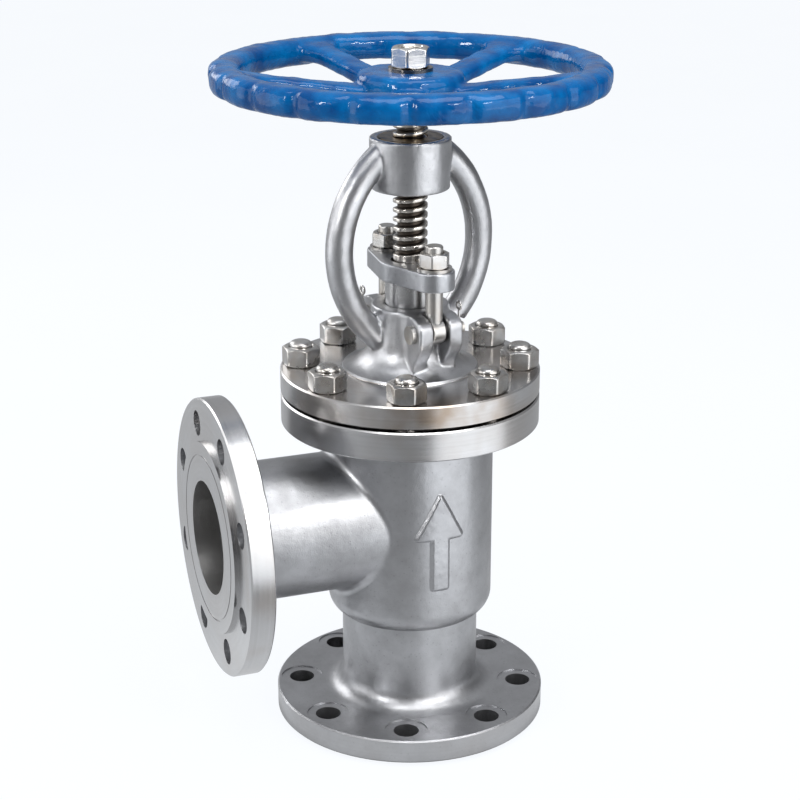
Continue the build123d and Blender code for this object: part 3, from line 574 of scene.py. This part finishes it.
def make_ring_of_pieces():
    """Geometry nodes: copies of one piece on a circle, each turned a step further than the last."""
    group, given, result = new_group(
        "ring_of_pieces",
        [
            ("Piece", "Geometry"), ("Count", "Int"), ("Circle Radius", "Float"), ("Start Angle", "Float"),
            ("First Turn", "Float"), ("Turn Step", "Float"), ("Finish", "Material"),
        ],
        [("Pieces", "Geometry")],
        "GeometryNodeTree",
    )
    add, plug, maths = node_tools(group)
    index = add("GeometryNodeInputIndex").outputs[0]
    spacing = maths("DIVIDE", 2 * math.pi, given["Count"])
    angle = maths("MULTIPLY_ADD", index, spacing, given["Start Angle"])
    spot = add("ShaderNodeCombineXYZ")
    plug(maths("MULTIPLY", maths("COSINE", angle), given["Circle Radius"]), spot.inputs[0])
    plug(maths("MULTIPLY", maths("SINE", angle), given["Circle Radius"]), spot.inputs[1])
    circle = add("GeometryNodePoints")
    plug(given["Count"], circle.inputs["Count"])
    plug(spot.outputs[0], circle.inputs["Position"])
    turn = add("ShaderNodeCombineXYZ")
    plug(maths("MULTIPLY_ADD", index, given["Turn Step"], given["First Turn"]), turn.inputs[2])
    copies = add("GeometryNodeInstanceOnPoints")
    plug(circle.outputs[0], copies.inputs["Points"])
    plug(given["Piece"], copies.inputs["Instance"])
    plug(turn.outputs[0], copies.inputs["Rotation"])
    real = add("GeometryNodeRealizeInstances")
    plug(copies.outputs[0], real.inputs[0])
    finish = add("GeometryNodeSetMaterial")
    plug(real.outputs[0], finish.inputs["Geometry"])
    plug(given["Finish"], finish.inputs["Material"])
    plug(finish.outputs[0], result["Pieces"])
    return group


ring_of_pieces = make_ring_of_pieces()


def run_nodes(name, bm, tree, settings):
    """Runs a geometry node group on a mesh and returns the plain mesh that it makes, as a bmesh."""
    mesh = bpy.data.meshes.new(name + "_start")
    bm.to_mesh(mesh)
    bm.free()
    start = bpy.data.objects.new(name + "_start", mesh)
    bpy.context.scene.collection.objects.link(start)
    modifier = start.modifiers.new("nodes", "NODES")
    modifier.node_group = tree
    sockets = {s.name: s.identifier for s in tree.interface.items_tree if s.in_out == "INPUT"}
    for label, value in settings.items():
        modifier[sockets[label]] = value
    made = bpy.data.meshes.new_from_object(start.evaluated_get(bpy.context.evaluated_depsgraph_get()))
    bpy.data.objects.remove(start)
    result = bmesh.new()
    result.from_mesh(made)
    bpy.data.meshes.remove(made)
    return result


def place_round(name, bm, material, count, radius, start, first_turn, turn_step, smooth_angle=34):
    """Copies of one piece round the stem axis, as one plain mesh."""
    settings = {
        "Count": count, "Circle Radius": radius, "Start Angle": math.radians(start),
        "First Turn": math.radians(first_turn), "Turn Step": math.radians(turn_step), "Finish": material,
    }
    return plain_piece(name, run_nodes(name, bm, ring_of_pieces, settings), material, smooth_angle)


def stud_rings():
    """A plain shank, two thread turns under the rounded end."""
    rings = [(0.0, STUD_LOW), (STUD_R - 0.001, STUD_LOW), (STUD_R, STUD_LOW + 0.001)]
    z = NUT_SEAT_Z + COVER_NUT_H - 0.5 * STUD_PITCH
    rings.append((STUD_R, z))
    end = STUD_TOP - STUD_DOME
    while z + STUD_PITCH <= end + 0.0004:
        rings += [(STUD_R - STUD_ROOT, z + part * STUD_PITCH) for part in (0.35, 0.5)]
        rings += [(STUD_R - STUD_CREST, z + part * STUD_PITCH) for part in (0.85, 1.0)]
        z += STUD_PITCH
    for step in range(9):
        lean = 0.5 * math.pi * step / 8
        radius = STUD_R - 0.0042 * (1 - math.cos(lean)) - STUD_CREST
        rings.append((radius, max(z, end) + 0.0001 + STUD_DOME * math.sin(lean)))
    rings.append((0.0, STUD_TOP + 0.0003))
    return rings


fastener_finish = bright_steel(
    "tumbled_fastener", (0.56, 0.555, 0.545, 1), (0.34, 0.335, 0.325, 1), 0.22,
    warm=0.28, lines_per_metre=1200.0,
)
studs = place_round(
    "cover_studs", polar_solid(stud_rings(), 40), fastener_finish,
    8, STUD_CIRCLE, 22.5, 22.5, 45, smooth_angle=60,
)
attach(studs, "root")
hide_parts("bonnet_studs")

# ---- Cover nuts -----------------------------------------------------------------
# M16 stainless hexagon nuts, 24 mm across flats, chamfered on both faces and
# tumbled bright.  Each stopped at its own angle when it was tightened.


def hexagon(across_flats, limit=1.0):
    """Radius of a hexagon at an angle, its corners just broken, and no wider than limit."""

    def reach(angle):
        turn = (math.degrees(angle) % 60.0) - 30.0
        flat = across_flats / 2 / math.cos(math.radians(turn))
        return min(flat, 0.985 * across_flats / math.sqrt(3), limit)

    return reach


def hex_nut(across_flats, height, bore, seat_z):
    """A hexagon nut with the curved edges that its two cone-shaped chamfers leave."""
    face = 0.475 * across_flats
    corner = across_flats / math.sqrt(3)
    slope = math.tan(math.radians(30))
    steps = [k / 7 for k in range(8)]
    chamfer = [(face + (corner - face) * s, (corner - face) * s * slope) for s in steps]
    rings = [(bore, seat_z + 0.0008), (bore + 0.0008, seat_z)]
    rings += [(hexagon(across_flats, limit), seat_z + rise) for limit, rise in chamfer]
    rings += [(hexagon(across_flats, limit), seat_z + height - rise) for limit, rise in reversed(chamfer)]
    rings += [(bore + 0.0008, seat_z + height), (bore, seat_z + height - 0.0008)]
    return polar_solid(rings, 96, hollow=True)


cover_nuts = place_round(
    "cover_nuts", hex_nut(M16_FLATS, COVER_NUT_H, STUD_R + 0.0001, NUT_SEAT_Z), fastener_finish,
    8, STUD_CIRCLE, 22.5, 22.5, 62,
)
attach(cover_nuts, "root")
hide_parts("bonnet_nuts")

# ---- Disc and its cover nut -----------------------------------------------------
# Turned stainless, seen only through the ports when the valve opens.
for turned_part in ("disc", "disc_cover"):
    set_material(turned_part, bright_bar)

# ---- Stem -----------------------------------------------------------------------
# Ground stainless bar with a rolled trapezoidal thread, right-handed, 6.5 mm pitch.
# The thread's crests are polished by the nut; its roots are painted nearly black, a painted shade in the
# grooves.
STEM_R = 0.012
THREAD_LOW, THREAD_HIGH = 0.3435, 0.4345
THREAD_PITCH = 0.0065
THREAD_DEPTH = 0.0031
THREAD_FADE = 0.0035
AROUND_STEM = 96
ROWS_PER_TURN = 26
HEAD_R, HEAD_TOP_Z = 0.015, 0.1147
COLLAR_R, COLLAR_LOW, COLLAR_HIGH = 0.016, 0.204, 0.210
SQUARE_HALF, SQUARE_CORNER_R = 0.00844, 0.01194
SQUARE_LOW, SQUARE_HIGH = 0.448, 0.4698


def make_rolled_thread():
    """Geometry nodes: a grid wrapped into a right-handed screw surface that fades out at both ends."""
    group, given, result = new_group(
        "rolled_thread",
        [
            ("Grid", "Geometry"), ("Pitch", "Float"), ("Radius", "Float"), ("Depth", "Float"),
            ("Low", "Float"), ("High", "Float"), ("Fade", "Float"), ("Finish", "Material"),
        ],
        [("Thread", "Geometry")],
        "GeometryNodeTree",
    )
    add, plug, maths = node_tools(group)
    place = add("ShaderNodeSeparateXYZ")
    plug(add("GeometryNodeInputPosition").outputs[0], place.inputs[0])
    around, turns = place.outputs[0], place.outputs[1]
    free_z = maths("MULTIPLY_ADD", maths("ADD", turns, around), given["Pitch"], given["Low"])
    z = maths("MINIMUM", maths("MAXIMUM", free_z, given["Low"]), given["High"])
    rows_up = maths("SUBTRACT", maths("DIVIDE", maths("SUBTRACT", z, given["Low"]), given["Pitch"]), around)
    phase = maths("FRACT", maths("ADD", rows_up, 100.0))
    off_crest = maths("ABSOLUTE", maths("SUBTRACT", phase, 0.5))
    valley = add("ShaderNodeMapRange", interpolation_type="SMOOTHSTEP")
    plug(off_crest, valley.inputs["Value"])
    valley.inputs["From Min"].default_value = 0.14
    valley.inputs["From Max"].default_value = 0.40
    crown = maths("MULTIPLY", maths("MULTIPLY", off_crest, off_crest), 0.9)
    cut = maths("MINIMUM", maths("ADD", valley.outputs["Result"], crown), 1.0)
    from_low = maths("DIVIDE", maths("SUBTRACT", z, given["Low"]), given["Fade"])
    from_high = maths("DIVIDE", maths("SUBTRACT", given["High"], z), given["Fade"])
    fade = maths("MINIMUM", maths("MINIMUM", from_low, from_high), 1.0)
    groove = maths("MULTIPLY", maths("MULTIPLY", cut, fade), given["Depth"])
    radius = maths("SUBTRACT", given["Radius"], groove)
    angle = maths("MULTIPLY", around, 2 * math.pi)
    wrapped = add("ShaderNodeCombineXYZ")
    plug(maths("MULTIPLY", radius, maths("COSINE", angle)), wrapped.inputs[0])
    plug(maths("MULTIPLY", radius, maths("SINE", angle)), wrapped.inputs[1])
    plug(z, wrapped.inputs[2])
    shaped = add("GeometryNodeSetPosition")
    plug(given["Grid"], shaped.inputs["Geometry"])
    plug(wrapped.outputs[0], shaped.inputs["Position"])
    real = add("GeometryNodeRealizeInstances")
    plug(shaped.outputs[0], real.inputs[0])
    finish = add("GeometryNodeSetMaterial")
    plug(real.outputs[0], finish.inputs["Geometry"])
    plug(given["Finish"], finish.inputs["Material"])
    plug(finish.outputs[0], result["Thread"])
    return group


def thread_grid():
    """A flat grid, one unit round the stem and one unit of height to each turn."""
    turns = (THREAD_HIGH - THREAD_LOW) / THREAD_PITCH
    rows = range(-ROWS_PER_TURN, int((turns + 1) * ROWS_PER_TURN) + 2)
    bm = bmesh.new()
    grid = [
        [bm.verts.new((column / AROUND_STEM, row / ROWS_PER_TURN, 0)) for column in range(AROUND_STEM + 1)]
        for row in rows
    ]
    for low, high in zip(grid, grid[1:]):
        for a, b, c, d in zip(low, low[1:], high[1:], high):
            bm.faces.new((a, b, c, d))
    return bm


def open_rings(bm, rings):
    """Adds a turned surface through rings of (radius, z); a radius of 0 closes it."""
    solid = polar_solid(rings, AROUND_STEM)
    ends = [f for f in solid.faces if len(f.verts) > 4]
    bmesh.ops.delete(solid, geom=ends, context="FACES_ONLY")
    part = bpy.data.meshes.new("turned_part")
    solid.to_mesh(part)
    solid.free()
    bm.from_mesh(part)
    bpy.data.meshes.remove(part)


def ground_stem():
    """Ground bar, painted nearly black towards the bottom of each thread groove as painted shade."""
    bar = Finish("ground_stem", Metallic=1.0)
    reach = bar.radius(bar.x, bar.y)
    free_of_painted_groove_shade = bar.ramp(reach, STEM_R - 0.8 * THREAD_DEPTH, STEM_R - 0.0004)
    plain = bar.either(bar.below(bar.z, THREAD_LOW), bar.above(bar.z, THREAD_HIGH))
    free_of_painted_groove_shade = bar.either(free_of_painted_groove_shade, plain)
    skin = bar.group(blasted_skin, Vector=bar.place)
    bright = bar.mix(skin["Cloud"], (0.46, 0.43, 0.39, 1), (0.66, 0.63, 0.59, 1))
    # Towards the thread roots the colour goes nearly black: painted shade in the grooves.
    bar.set(Base_Color=bar.mix(free_of_painted_groove_shade, (0.055, 0.045, 0.037, 1), bright))
    bar.set(Roughness=bar.blend(free_of_painted_groove_shade, 0.42, bar.maths("MULTIPLY_ADD", skin["Cloud"], 0.10, 0.15)))
    bar.bump(skin["Height"], 0.00002)
    return bar.material


def stem():
    finish = ground_stem()
    settings = {
        "Pitch": THREAD_PITCH, "Radius": STEM_R, "Depth": THREAD_DEPTH,
        "Low": THREAD_LOW, "High": THREAD_HIGH, "Fade": THREAD_FADE, "Finish": finish,
    }
    bm = run_nodes("stem", thread_grid(), make_rolled_thread(), settings)
    low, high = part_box("stem")
    open_rings(bm, [
        (0.0, low.z), (0.0145, low.z), (HEAD_R, low.z + 0.0005), (HEAD_R, HEAD_TOP_Z),
        (STEM_R, HEAD_TOP_Z), (STEM_R, COLLAR_LOW), (0.0155, COLLAR_LOW), (COLLAR_R, 0.2045),
        (COLLAR_R, COLLAR_HIGH), (STEM_R, 0.212), (STEM_R, THREAD_LOW),
    ])

    def square(angle):
        return min(SQUARE_CORNER_R, SQUARE_HALF / max(abs(math.cos(angle)), abs(math.sin(angle))))

    open_rings(bm, [
        (STEM_R, THREAD_HIGH), (STEM_R, 0.4477), (0.01197, SQUARE_LOW), (square, SQUARE_LOW),
        (square, SQUARE_HIGH), (STUD_R, SQUARE_HIGH), (STUD_R, high.z - 0.0022),
        (0.0077, high.z - 0.0012), (0.0068, high.z - 0.0004), (0.0055, high.z - 0.0001), (0.0, high.z),
    ])
    bmesh.ops.remove_doubles(bm, verts=bm.verts, dist=4e-6)
    bmesh.ops.dissolve_degenerate(bm, edges=bm.edges, dist=1e-7)
    return plain_piece("stem_looks", bm, finish, smooth_angle=50)


stem_piece = stem()
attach(stem_piece, "stem_group")
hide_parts("stem")

# ---- Stem nut and its grub screw ------------------------------------------------
# Aluminium bronze, turned, dark with old grease where it meets the stem.  A small
# steel grub screw in the back of the yoke head keeps it from turning.


def greasy_bronze():
    metal = Finish("greasy_bronze", Metallic=1.0)
    lines = metal.group(turned_lines, Across=metal.radius(metal.x, metal.y), Lines_Per_Metre=TURNING_LINES)
    grime = metal.ramp(metal.noise(160, 4), 0.35, 0.62)
    metal.set(Base_Color=metal.mix(grime, (0.055, 0.042, 0.032, 1), (0.30, 0.21, 0.11, 1)))
    metal.set(Roughness=metal.maths("MULTIPLY_ADD", lines["Shine"], 0.2, 0.24))
    metal.bump(lines["Height"], 0.00005)
    return metal.material


set_material("stem_nut", greasy_bronze())
set_material("grub_screw", bright_bar)

# ---- Gland follower and gland flange --------------------------------------------
# The follower is turned bar, the two-bolt flange above it a small precision casting
# with a tighter, darker blasted skin and rounded edges.
GLAND_GRAIN = 0.0006
follower_steel = bright_steel("turned_follower", (0.50, 0.495, 0.49, 1), (0.33, 0.33, 0.335, 1), 0.2)
set_material("gland_follower", follower_steel)


def nowhere_machined(steel):
    return 0.0, steel.z, None, None


gland_casting = steel_casting(
    "blasted_gland", nowhere_machined, light=(0.42, 0.43, 0.45, 1), dark=(0.30, 0.305, 0.32, 1)
)


def gland_flange():
    casting = remelted("gland", cad_copy("gland_flange"), GLAND_GRAIN, 4, lump=0.00008, lump_scale=120)
    return plain_piece("gland_flange_looks", casting, gland_casting)


gland_piece = gland_flange()
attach(gland_piece, "gland_group")
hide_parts("gland_flange")

# ---- Gland washers and nuts -----------------------------------------------------
# M12 stainless washers and hexagon nuts, 19 mm across flats, tumbled like the cover
# nuts.
M12_FLATS, GLAND_NUT_H, GLAND_NUT_BORE = 0.019, 0.010, 0.0063
GLAND_NUT_SEAT_Z = 0.343
GLAND_BOLTS_R, GLAND_BOLTS_BEARING = 0.0327, 99
set_material("gland_washers", fastener_finish)
gland_nuts = place_round(
    "gland_nuts_looks", hex_nut(M12_FLATS, GLAND_NUT_H, GLAND_NUT_BORE, GLAND_NUT_SEAT_Z), fastener_finish,
    2, GLAND_BOLTS_R, GLAND_BOLTS_BEARING, 0, 0,
)
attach(gland_nuts, "gland_group")
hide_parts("gland_nuts")

# ---- Eye bolts, lug pins and split pins -----------------------------------------
# Forged eye bolts swing on headed pins between the lugs; each pin is kept by a bent
# wire split pin.
eye_steel = bright_steel("forged_eye", (0.55, 0.54, 0.52, 1), (0.36, 0.355, 0.345, 1), 0.26, warm=0.25)
for swinging in ("eye_bolt_front", "eye_bolt_back", "lug_pins"):
    set_material(swinging, eye_steel)
set_material("split_pins", bright_bar)

# ---- Handwheel ------------------------------------------------------------------
# Grey iron with five spokes rising to a rim with twenty-two finger grips, fettled by
# hand and dipped in thick blue enamel, so it is glossy, lumpy and soft-edged.
RIM_MIDDLE, RIM_HALF_WIDTH = 0.1240, 0.0110
RIM_MIDDLE_Z, RIM_HALF_HEIGHT = 0.4680, 0.0095
GRIP_COUNT = 22
GRIP_DEPTH, GRIP_HALF = 0.0024, 0.0062
SPOKE_START, SPOKE_COUNT = 249.0, 5
WHEEL_GRAIN = 0.0013
STATIONS_PER_GRIP, RIM_POINTS, SPOKE_STEPS, SPOKE_POINTS, HUB_SEGMENTS = 24, 36, 48, 28, 120
GRIP_CIRCLE_R = 0.135
PILLOW = 0.0007
SPOKE_IN, SPOKE_LONG = 0.020, 0.098
SPOKE_LOW_TOP, SPOKE_HIGH_TOP, SPOKE_RUN = 0.4605, 0.4755, 0.097
HUB_PROFILE = [
    (0.0123, 0.448), (0.0255, 0.448), (0.0262, 0.4495), (0.0285, 0.4555), (0.0350, 0.4585),
    (0.0368, 0.4610), (0.0362, 0.4665), (0.0345, 0.4698), (0.0300, 0.4706), (0.0123, 0.4706),
]


def add_sections(bm, sections, loop):
    """Joins a list of equal rings of points with quads, as a loop or as a capped bar."""
    rings = [[bm.verts.new(point) for point in section] for section in sections]
    count = len(rings[0])
    for first, second in zip(rings, rings[1:] + (rings[:1] if loop else [])):
        for k in range(count):
            following = (k + 1) % count
            bm.faces.new((first[k], second[k], second[following], first[following]))
    if not loop:
        bm.faces.new(rings[0])
        bm.faces.new(rings[-1][::-1])


def squircle(angle, half_width, half_height, power):
    """A point on a rounded rectangle, as across and up."""
    c, s = math.cos(angle), math.sin(angle)
    across = half_width * math.copysign(abs(c) ** (2 / power), c)
    return across, half_height * math.copysign(abs(s) ** (2 / power), s)


def wheel_rim(bm):
    sections = []
    stations = GRIP_COUNT * STATIONS_PER_GRIP
    for k in range(stations):
        angle = math.radians(SPOKE_START) + 2 * math.pi * k / stations
        part_way = abs(((k / STATIONS_PER_GRIP) + 0.5) % 1.0 - 0.5)
        from_grip = part_way * 2 * math.pi * GRIP_CIRCLE_R / GRIP_COUNT
        dip = GRIP_DEPTH * (1 - soft_step(from_grip / GRIP_HALF))
        pillow = PILLOW * soft_step(from_grip / 0.018)
        section = []
        for j in range(RIM_POINTS):
            across, up = squircle(2 * math.pi * j / RIM_POINTS, RIM_HALF_WIDTH, RIM_HALF_HEIGHT, 2.7)
            outward = max(0.0, across / RIM_HALF_WIDTH)
            radius = RIM_MIDDLE + across - (dip - pillow + PILLOW) * soft_step(outward)
            section.append((radius * math.cos(angle), radius * math.sin(angle), RIM_MIDDLE_Z + up))
        sections.append(section)
    add_sections(bm, sections, loop=True)


def wheel_spoke(bm, azimuth):
    out = Vector((math.cos(azimuth), math.sin(azimuth), 0))
    side = Vector((-out.y, out.x, 0))
    sections = []
    for k in range(SPOKE_STEPS + 1):
        along = SPOKE_IN + SPOKE_LONG * k / SPOKE_STEPS
        top = SPOKE_LOW_TOP + (SPOKE_HIGH_TOP - SPOKE_LOW_TOP) * (along - SPOKE_IN) / SPOKE_RUN
        web = math.exp(-(((0.118 - along) / 0.011) ** 2))
        root = math.exp(-(((along - 0.030) / 0.010) ** 2))
        half_width = 0.0100 + 0.0100 * web + 0.0035 * root
        half_height = 0.0058 + 0.0012 * web
        section = []
        for j in range(SPOKE_POINTS):
            across, up = squircle(2 * math.pi * j / SPOKE_POINTS, half_width, half_height, 3.4)
            point = out * along + side * across
            section.append((point.x, point.y, top - half_height + up))
        sections.append(section)
    add_sections(bm, sections, loop=False)


def wheel_hub(bm):
    sections = []
    for k in range(HUB_SEGMENTS):
        angle = 2 * math.pi * k / HUB_SEGMENTS
        sections.append([(r * math.cos(angle), r * math.sin(angle), z) for r, z in HUB_PROFILE])
    add_sections(bm, sections, loop=True)


def blue_enamel():
    paint = Finish("blue_enamel", Coat_Weight=0.32, Coat_Roughness=0.03, Specular_IOR_Level=0.06)
    tone = paint.ramp(paint.noise(55, 4), 0.35, 0.68)
    paint.set(Base_Color=paint.mix(tone, (0.0, 0.044, 0.165, 1), (0.0, 0.100, 0.290, 1)))
    paint.set(Roughness=paint.maths("MULTIPLY_ADD", tone, 0.16, 0.16))
    sag = paint.add("ShaderNodeTexNoise")
    paint.plug(paint.place, sag.inputs["Vector"])
    sag.inputs["Scale"].default_value = 120
    sag.inputs["Detail"].default_value = 2
    sag.inputs["Distortion"].default_value = 1.2
    peel = paint.noise(520, 2)
    paint.bump(paint.maths("MULTIPLY_ADD", peel, 0.10, sag.outputs["Fac"]), 0.0011, 0.55)
    return paint.material


def handwheel():
    bm = bmesh.new()
    wheel_rim(bm)
    for spoke in range(SPOKE_COUNT):
        wheel_spoke(bm, math.radians(SPOKE_START + spoke * 360 / SPOKE_COUNT))
    wheel_hub(bm)
    bmesh.ops.recalc_face_normals(bm, faces=bm.faces)

    def away_from_washer(point):
        return soft_step((math.hypot(point.x, point.y) - 0.016) / 0.008)

    cast = remelted("wheel", bm, WHEEL_GRAIN, 6, lump=0.00055, lump_scale=85, lump_free=away_from_washer)
    return plain_piece("handwheel_looks", cast, blue_enamel())


wheel_piece = handwheel()
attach(wheel_piece, "stem_group")
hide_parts("handwheel")

# ---- Wheel washer and nut -------------------------------------------------------
# A plain washer, dark with grease at its edge, under a polished M16 nut.
WHEEL_NUT_H, WHEEL_NUT_SEAT_Z = 0.0135, 0.473
dark_washer = bright_steel("greasy_washer", (0.26, 0.24, 0.215, 1), (0.12, 0.11, 0.10, 1), 0.22, warm=0.4)
set_material("handwheel_washer", dark_washer)
polished_nut = bright_steel("polished_nut", (0.80, 0.79, 0.77, 1), (0.62, 0.61, 0.60, 1), 0.14, warm=0.08)
wheel_nut_mesh = hex_nut(M16_FLATS, WHEEL_NUT_H, STUD_R + 0.0001, WHEEL_NUT_SEAT_Z)
wheel_nut = plain_piece("wheel_nut", wheel_nut_mesh, polished_nut, 34)
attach(wheel_nut, "stem_group")
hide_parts("handwheel_nut")

# ---- Floor ----------------------------------------------------------------------
# A seamless sheet of near-white paper that glows like a lamp.  The camera sees it evenly bright;
# reflections and bounce light see it brighter near the valve and, further out, as grey cards that give the
# turned rims light and dark bands; each card is a bearing in degrees and a brightness.
FLOOR_HALF = 9.0
FLOOR_CARDS = [
    (-171, 0.50), (-158, 0.24), (-120, 0.12), (-93, 0.08), (-89, 0.80), (-28, 0.80),
    (-23, 0.20), (45, 0.20), (60, 0.28), (140, 0.28), (148, 0.50),
]
floor_mesh = bpy.data.meshes.new("floor")
floor_corners = [(-FLOOR_HALF, -FLOOR_HALF, 0), (FLOOR_HALF, -FLOOR_HALF, 0)]
floor_corners += [(FLOOR_HALF, FLOOR_HALF, 0), (-FLOOR_HALF, FLOOR_HALF, 0)]
floor_mesh.from_pydata(floor_corners, [], [(0, 1, 2, 3)])
floor = bpy.data.objects.new("floor", floor_mesh)
bpy.context.scene.collection.objects.link(floor)
paper = Finish("floor_paper", Roughness=0.9, Specular_IOR_Level=0.0)
direct = paper.add("ShaderNodeLightPath").outputs["Is Camera Ray"]
paper_tone = paper.mix(paper.noise(3.0), (0.90, 0.925, 0.955, 1), (0.915, 0.94, 0.97, 1))
from_valve = paper.radius(paper.x, paper.y)
bearing = paper.maths("ARCTAN2", paper.y, paper.x)
cards = paper.add("ShaderNodeValToRGB")
paper.plug(paper.maths("MULTIPLY_ADD", bearing, 0.5 / math.pi, 0.5), cards.inputs["Fac"])
cards.color_ramp.elements[0].color = (0.5, 0.5, 0.5, 1)
cards.color_ramp.elements[1].color = (0.5, 0.5, 0.5, 1)
for turn, grey in FLOOR_CARDS:
    stop = cards.color_ramp.elements.new(0.5 + turn / 360)
    stop.color = (grey, grey, grey, 1)
card_glow = paper.maths("MULTIPLY", cards.outputs["Color"], 2.0)
glow = paper.blend(paper.ramp(from_valve, 0.13, 0.45), 0.80, card_glow)
# No glow where the valve stands: a painted shadow under its flange for reflections and bounce light.
glow = paper.maths("MULTIPLY", glow, paper.ramp(from_valve, 0.094, 0.106))
paper.set(Base_Color=paper.mix(direct, (0.06, 0.06, 0.061, 1), (0.05, 0.05, 0.052, 1)))
paper.set(Emission_Color=paper_tone, Emission_Strength=paper.blend(direct, glow, 1.0))
floor_mesh.materials.append(paper.material)

# ---- Lights ---------------------------------------------------------------------
# A studio: pale behind the valve, darker behind the camera.  Softboxes stand at the
# left, behind on the left, above and at the front right, with two narrow strips.
CEILING_TONE = (0.62, 0.63, 0.65, 1)
world = bpy.data.worlds.new("studio")
bpy.context.scene.world = world
world.use_nodes = True
add, plug, maths = node_tools(world.node_tree)
room = world.node_tree.nodes["Background"]
ray = add("ShaderNodeSeparateXYZ")
plug(add("ShaderNodeTexCoord").outputs["Generated"], ray.inputs[0])
leftward = maths("MULTIPLY_ADD", ray.outputs["X"], -0.2, 0.5)
behind = maths("MULTIPLY_ADD", ray.outputs["Y"], 0.45, leftward)
walls = add("ShaderNodeValToRGB")
plug(behind, walls.inputs["Fac"])
walls.color_ramp.elements[0].color = (0.06, 0.06, 0.064, 1)
walls.color_ramp.elements[1].color = (0.48, 0.49, 0.51, 1)
middle = walls.color_ramp.elements.new(0.45)
middle.color = (0.13, 0.132, 0.138, 1)
ceiling = add("ShaderNodeMix", data_type="RGBA")
rise = add("ShaderNodeMapRange")
plug(ray.outputs["Z"], rise.inputs["Value"])
rise.inputs["From Min"].default_value = 0.25
rise.inputs["From Max"].default_value = 0.95
ceiling_mix = {"Factor_Float": rise.outputs[0], "A_Color": walls.outputs[0], "B_Color": CEILING_TONE}
for label, value in ceiling_mix.items():
    plug(value, next(s for s in ceiling.inputs if s.identifier == label))
plug(ceiling.outputs[2], room.inputs["Color"])
room.inputs["Strength"].default_value = 1.0


def softbox(name, position, aim, size, power, tint=(1, 1, 1)):
    """A rectangular soft light aimed at a point."""
    data = bpy.data.lights.new(name, "AREA")
    data.shape = "RECTANGLE"
    data.size, data.size_y = size
    data.energy = power
    data.color = tint
    lamp = bpy.data.objects.new(name, data)
    lamp.location = position
    lamp.rotation_euler = (Vector(aim) - Vector(position)).to_track_quat("-Z", "Y").to_euler()
    bpy.context.scene.collection.objects.link(lamp)


MIDDLE = (0, 0, 0.24)
softbox("left", (-1.5, 0.3, 0.6), MIDDLE, (1.1, 1.2), 8)
softbox("back_left", (-0.75, 1.3, 0.95), MIDDLE, (0.9, 0.8), 9)
softbox("above", (0.05, -0.35, 1.7), MIDDLE, (1.3, 0.9), 19)
softbox("front_right", (0.80, -1.27, 0.75), MIDDLE, (1.5, 1.4), 15)
softbox("left_strip", (-1.45, -0.70, 1.0), MIDDLE, (0.12, 0.55), 10)
softbox("right_strip", (0.35, -1.45, 1.25), MIDDLE, (0.45, 0.12), 9)

# ---- Camera ---------------------------------------------------------------------
# The valve is seen from a little above, with the side branch to the left.
bpy.context.scene.view_settings.view_transform = "Standard"
VIEW_AZIMUTH, VIEW_ELEVATION = math.radians(-20.569), math.radians(19.382)
VIEW_DISTANCE = 1.365719
AIM_Z, AIM_LEFT = 0.237796, 0.007022
AIM = Vector((0, 0, AIM_Z)) - AIM_LEFT * Vector((math.cos(VIEW_AZIMUTH), math.sin(VIEW_AZIMUTH), 0))
away = Vector((
    math.sin(VIEW_AZIMUTH) * math.cos(VIEW_ELEVATION),
    -math.cos(VIEW_AZIMUTH) * math.cos(VIEW_ELEVATION),
    math.sin(VIEW_ELEVATION),
))
camera_data = bpy.data.cameras.new("camera")
camera_data.sensor_width = 36
camera_data.lens = 87.064
camera_data.clip_start = 0.05
camera = bpy.data.objects.new("camera", camera_data)
camera.location = AIM + VIEW_DISTANCE * away
camera.rotation_euler = (-away).to_track_quat("-Z", "Y").to_euler()
bpy.context.scene.collection.objects.link(camera)
bpy.context.scene.camera = camera
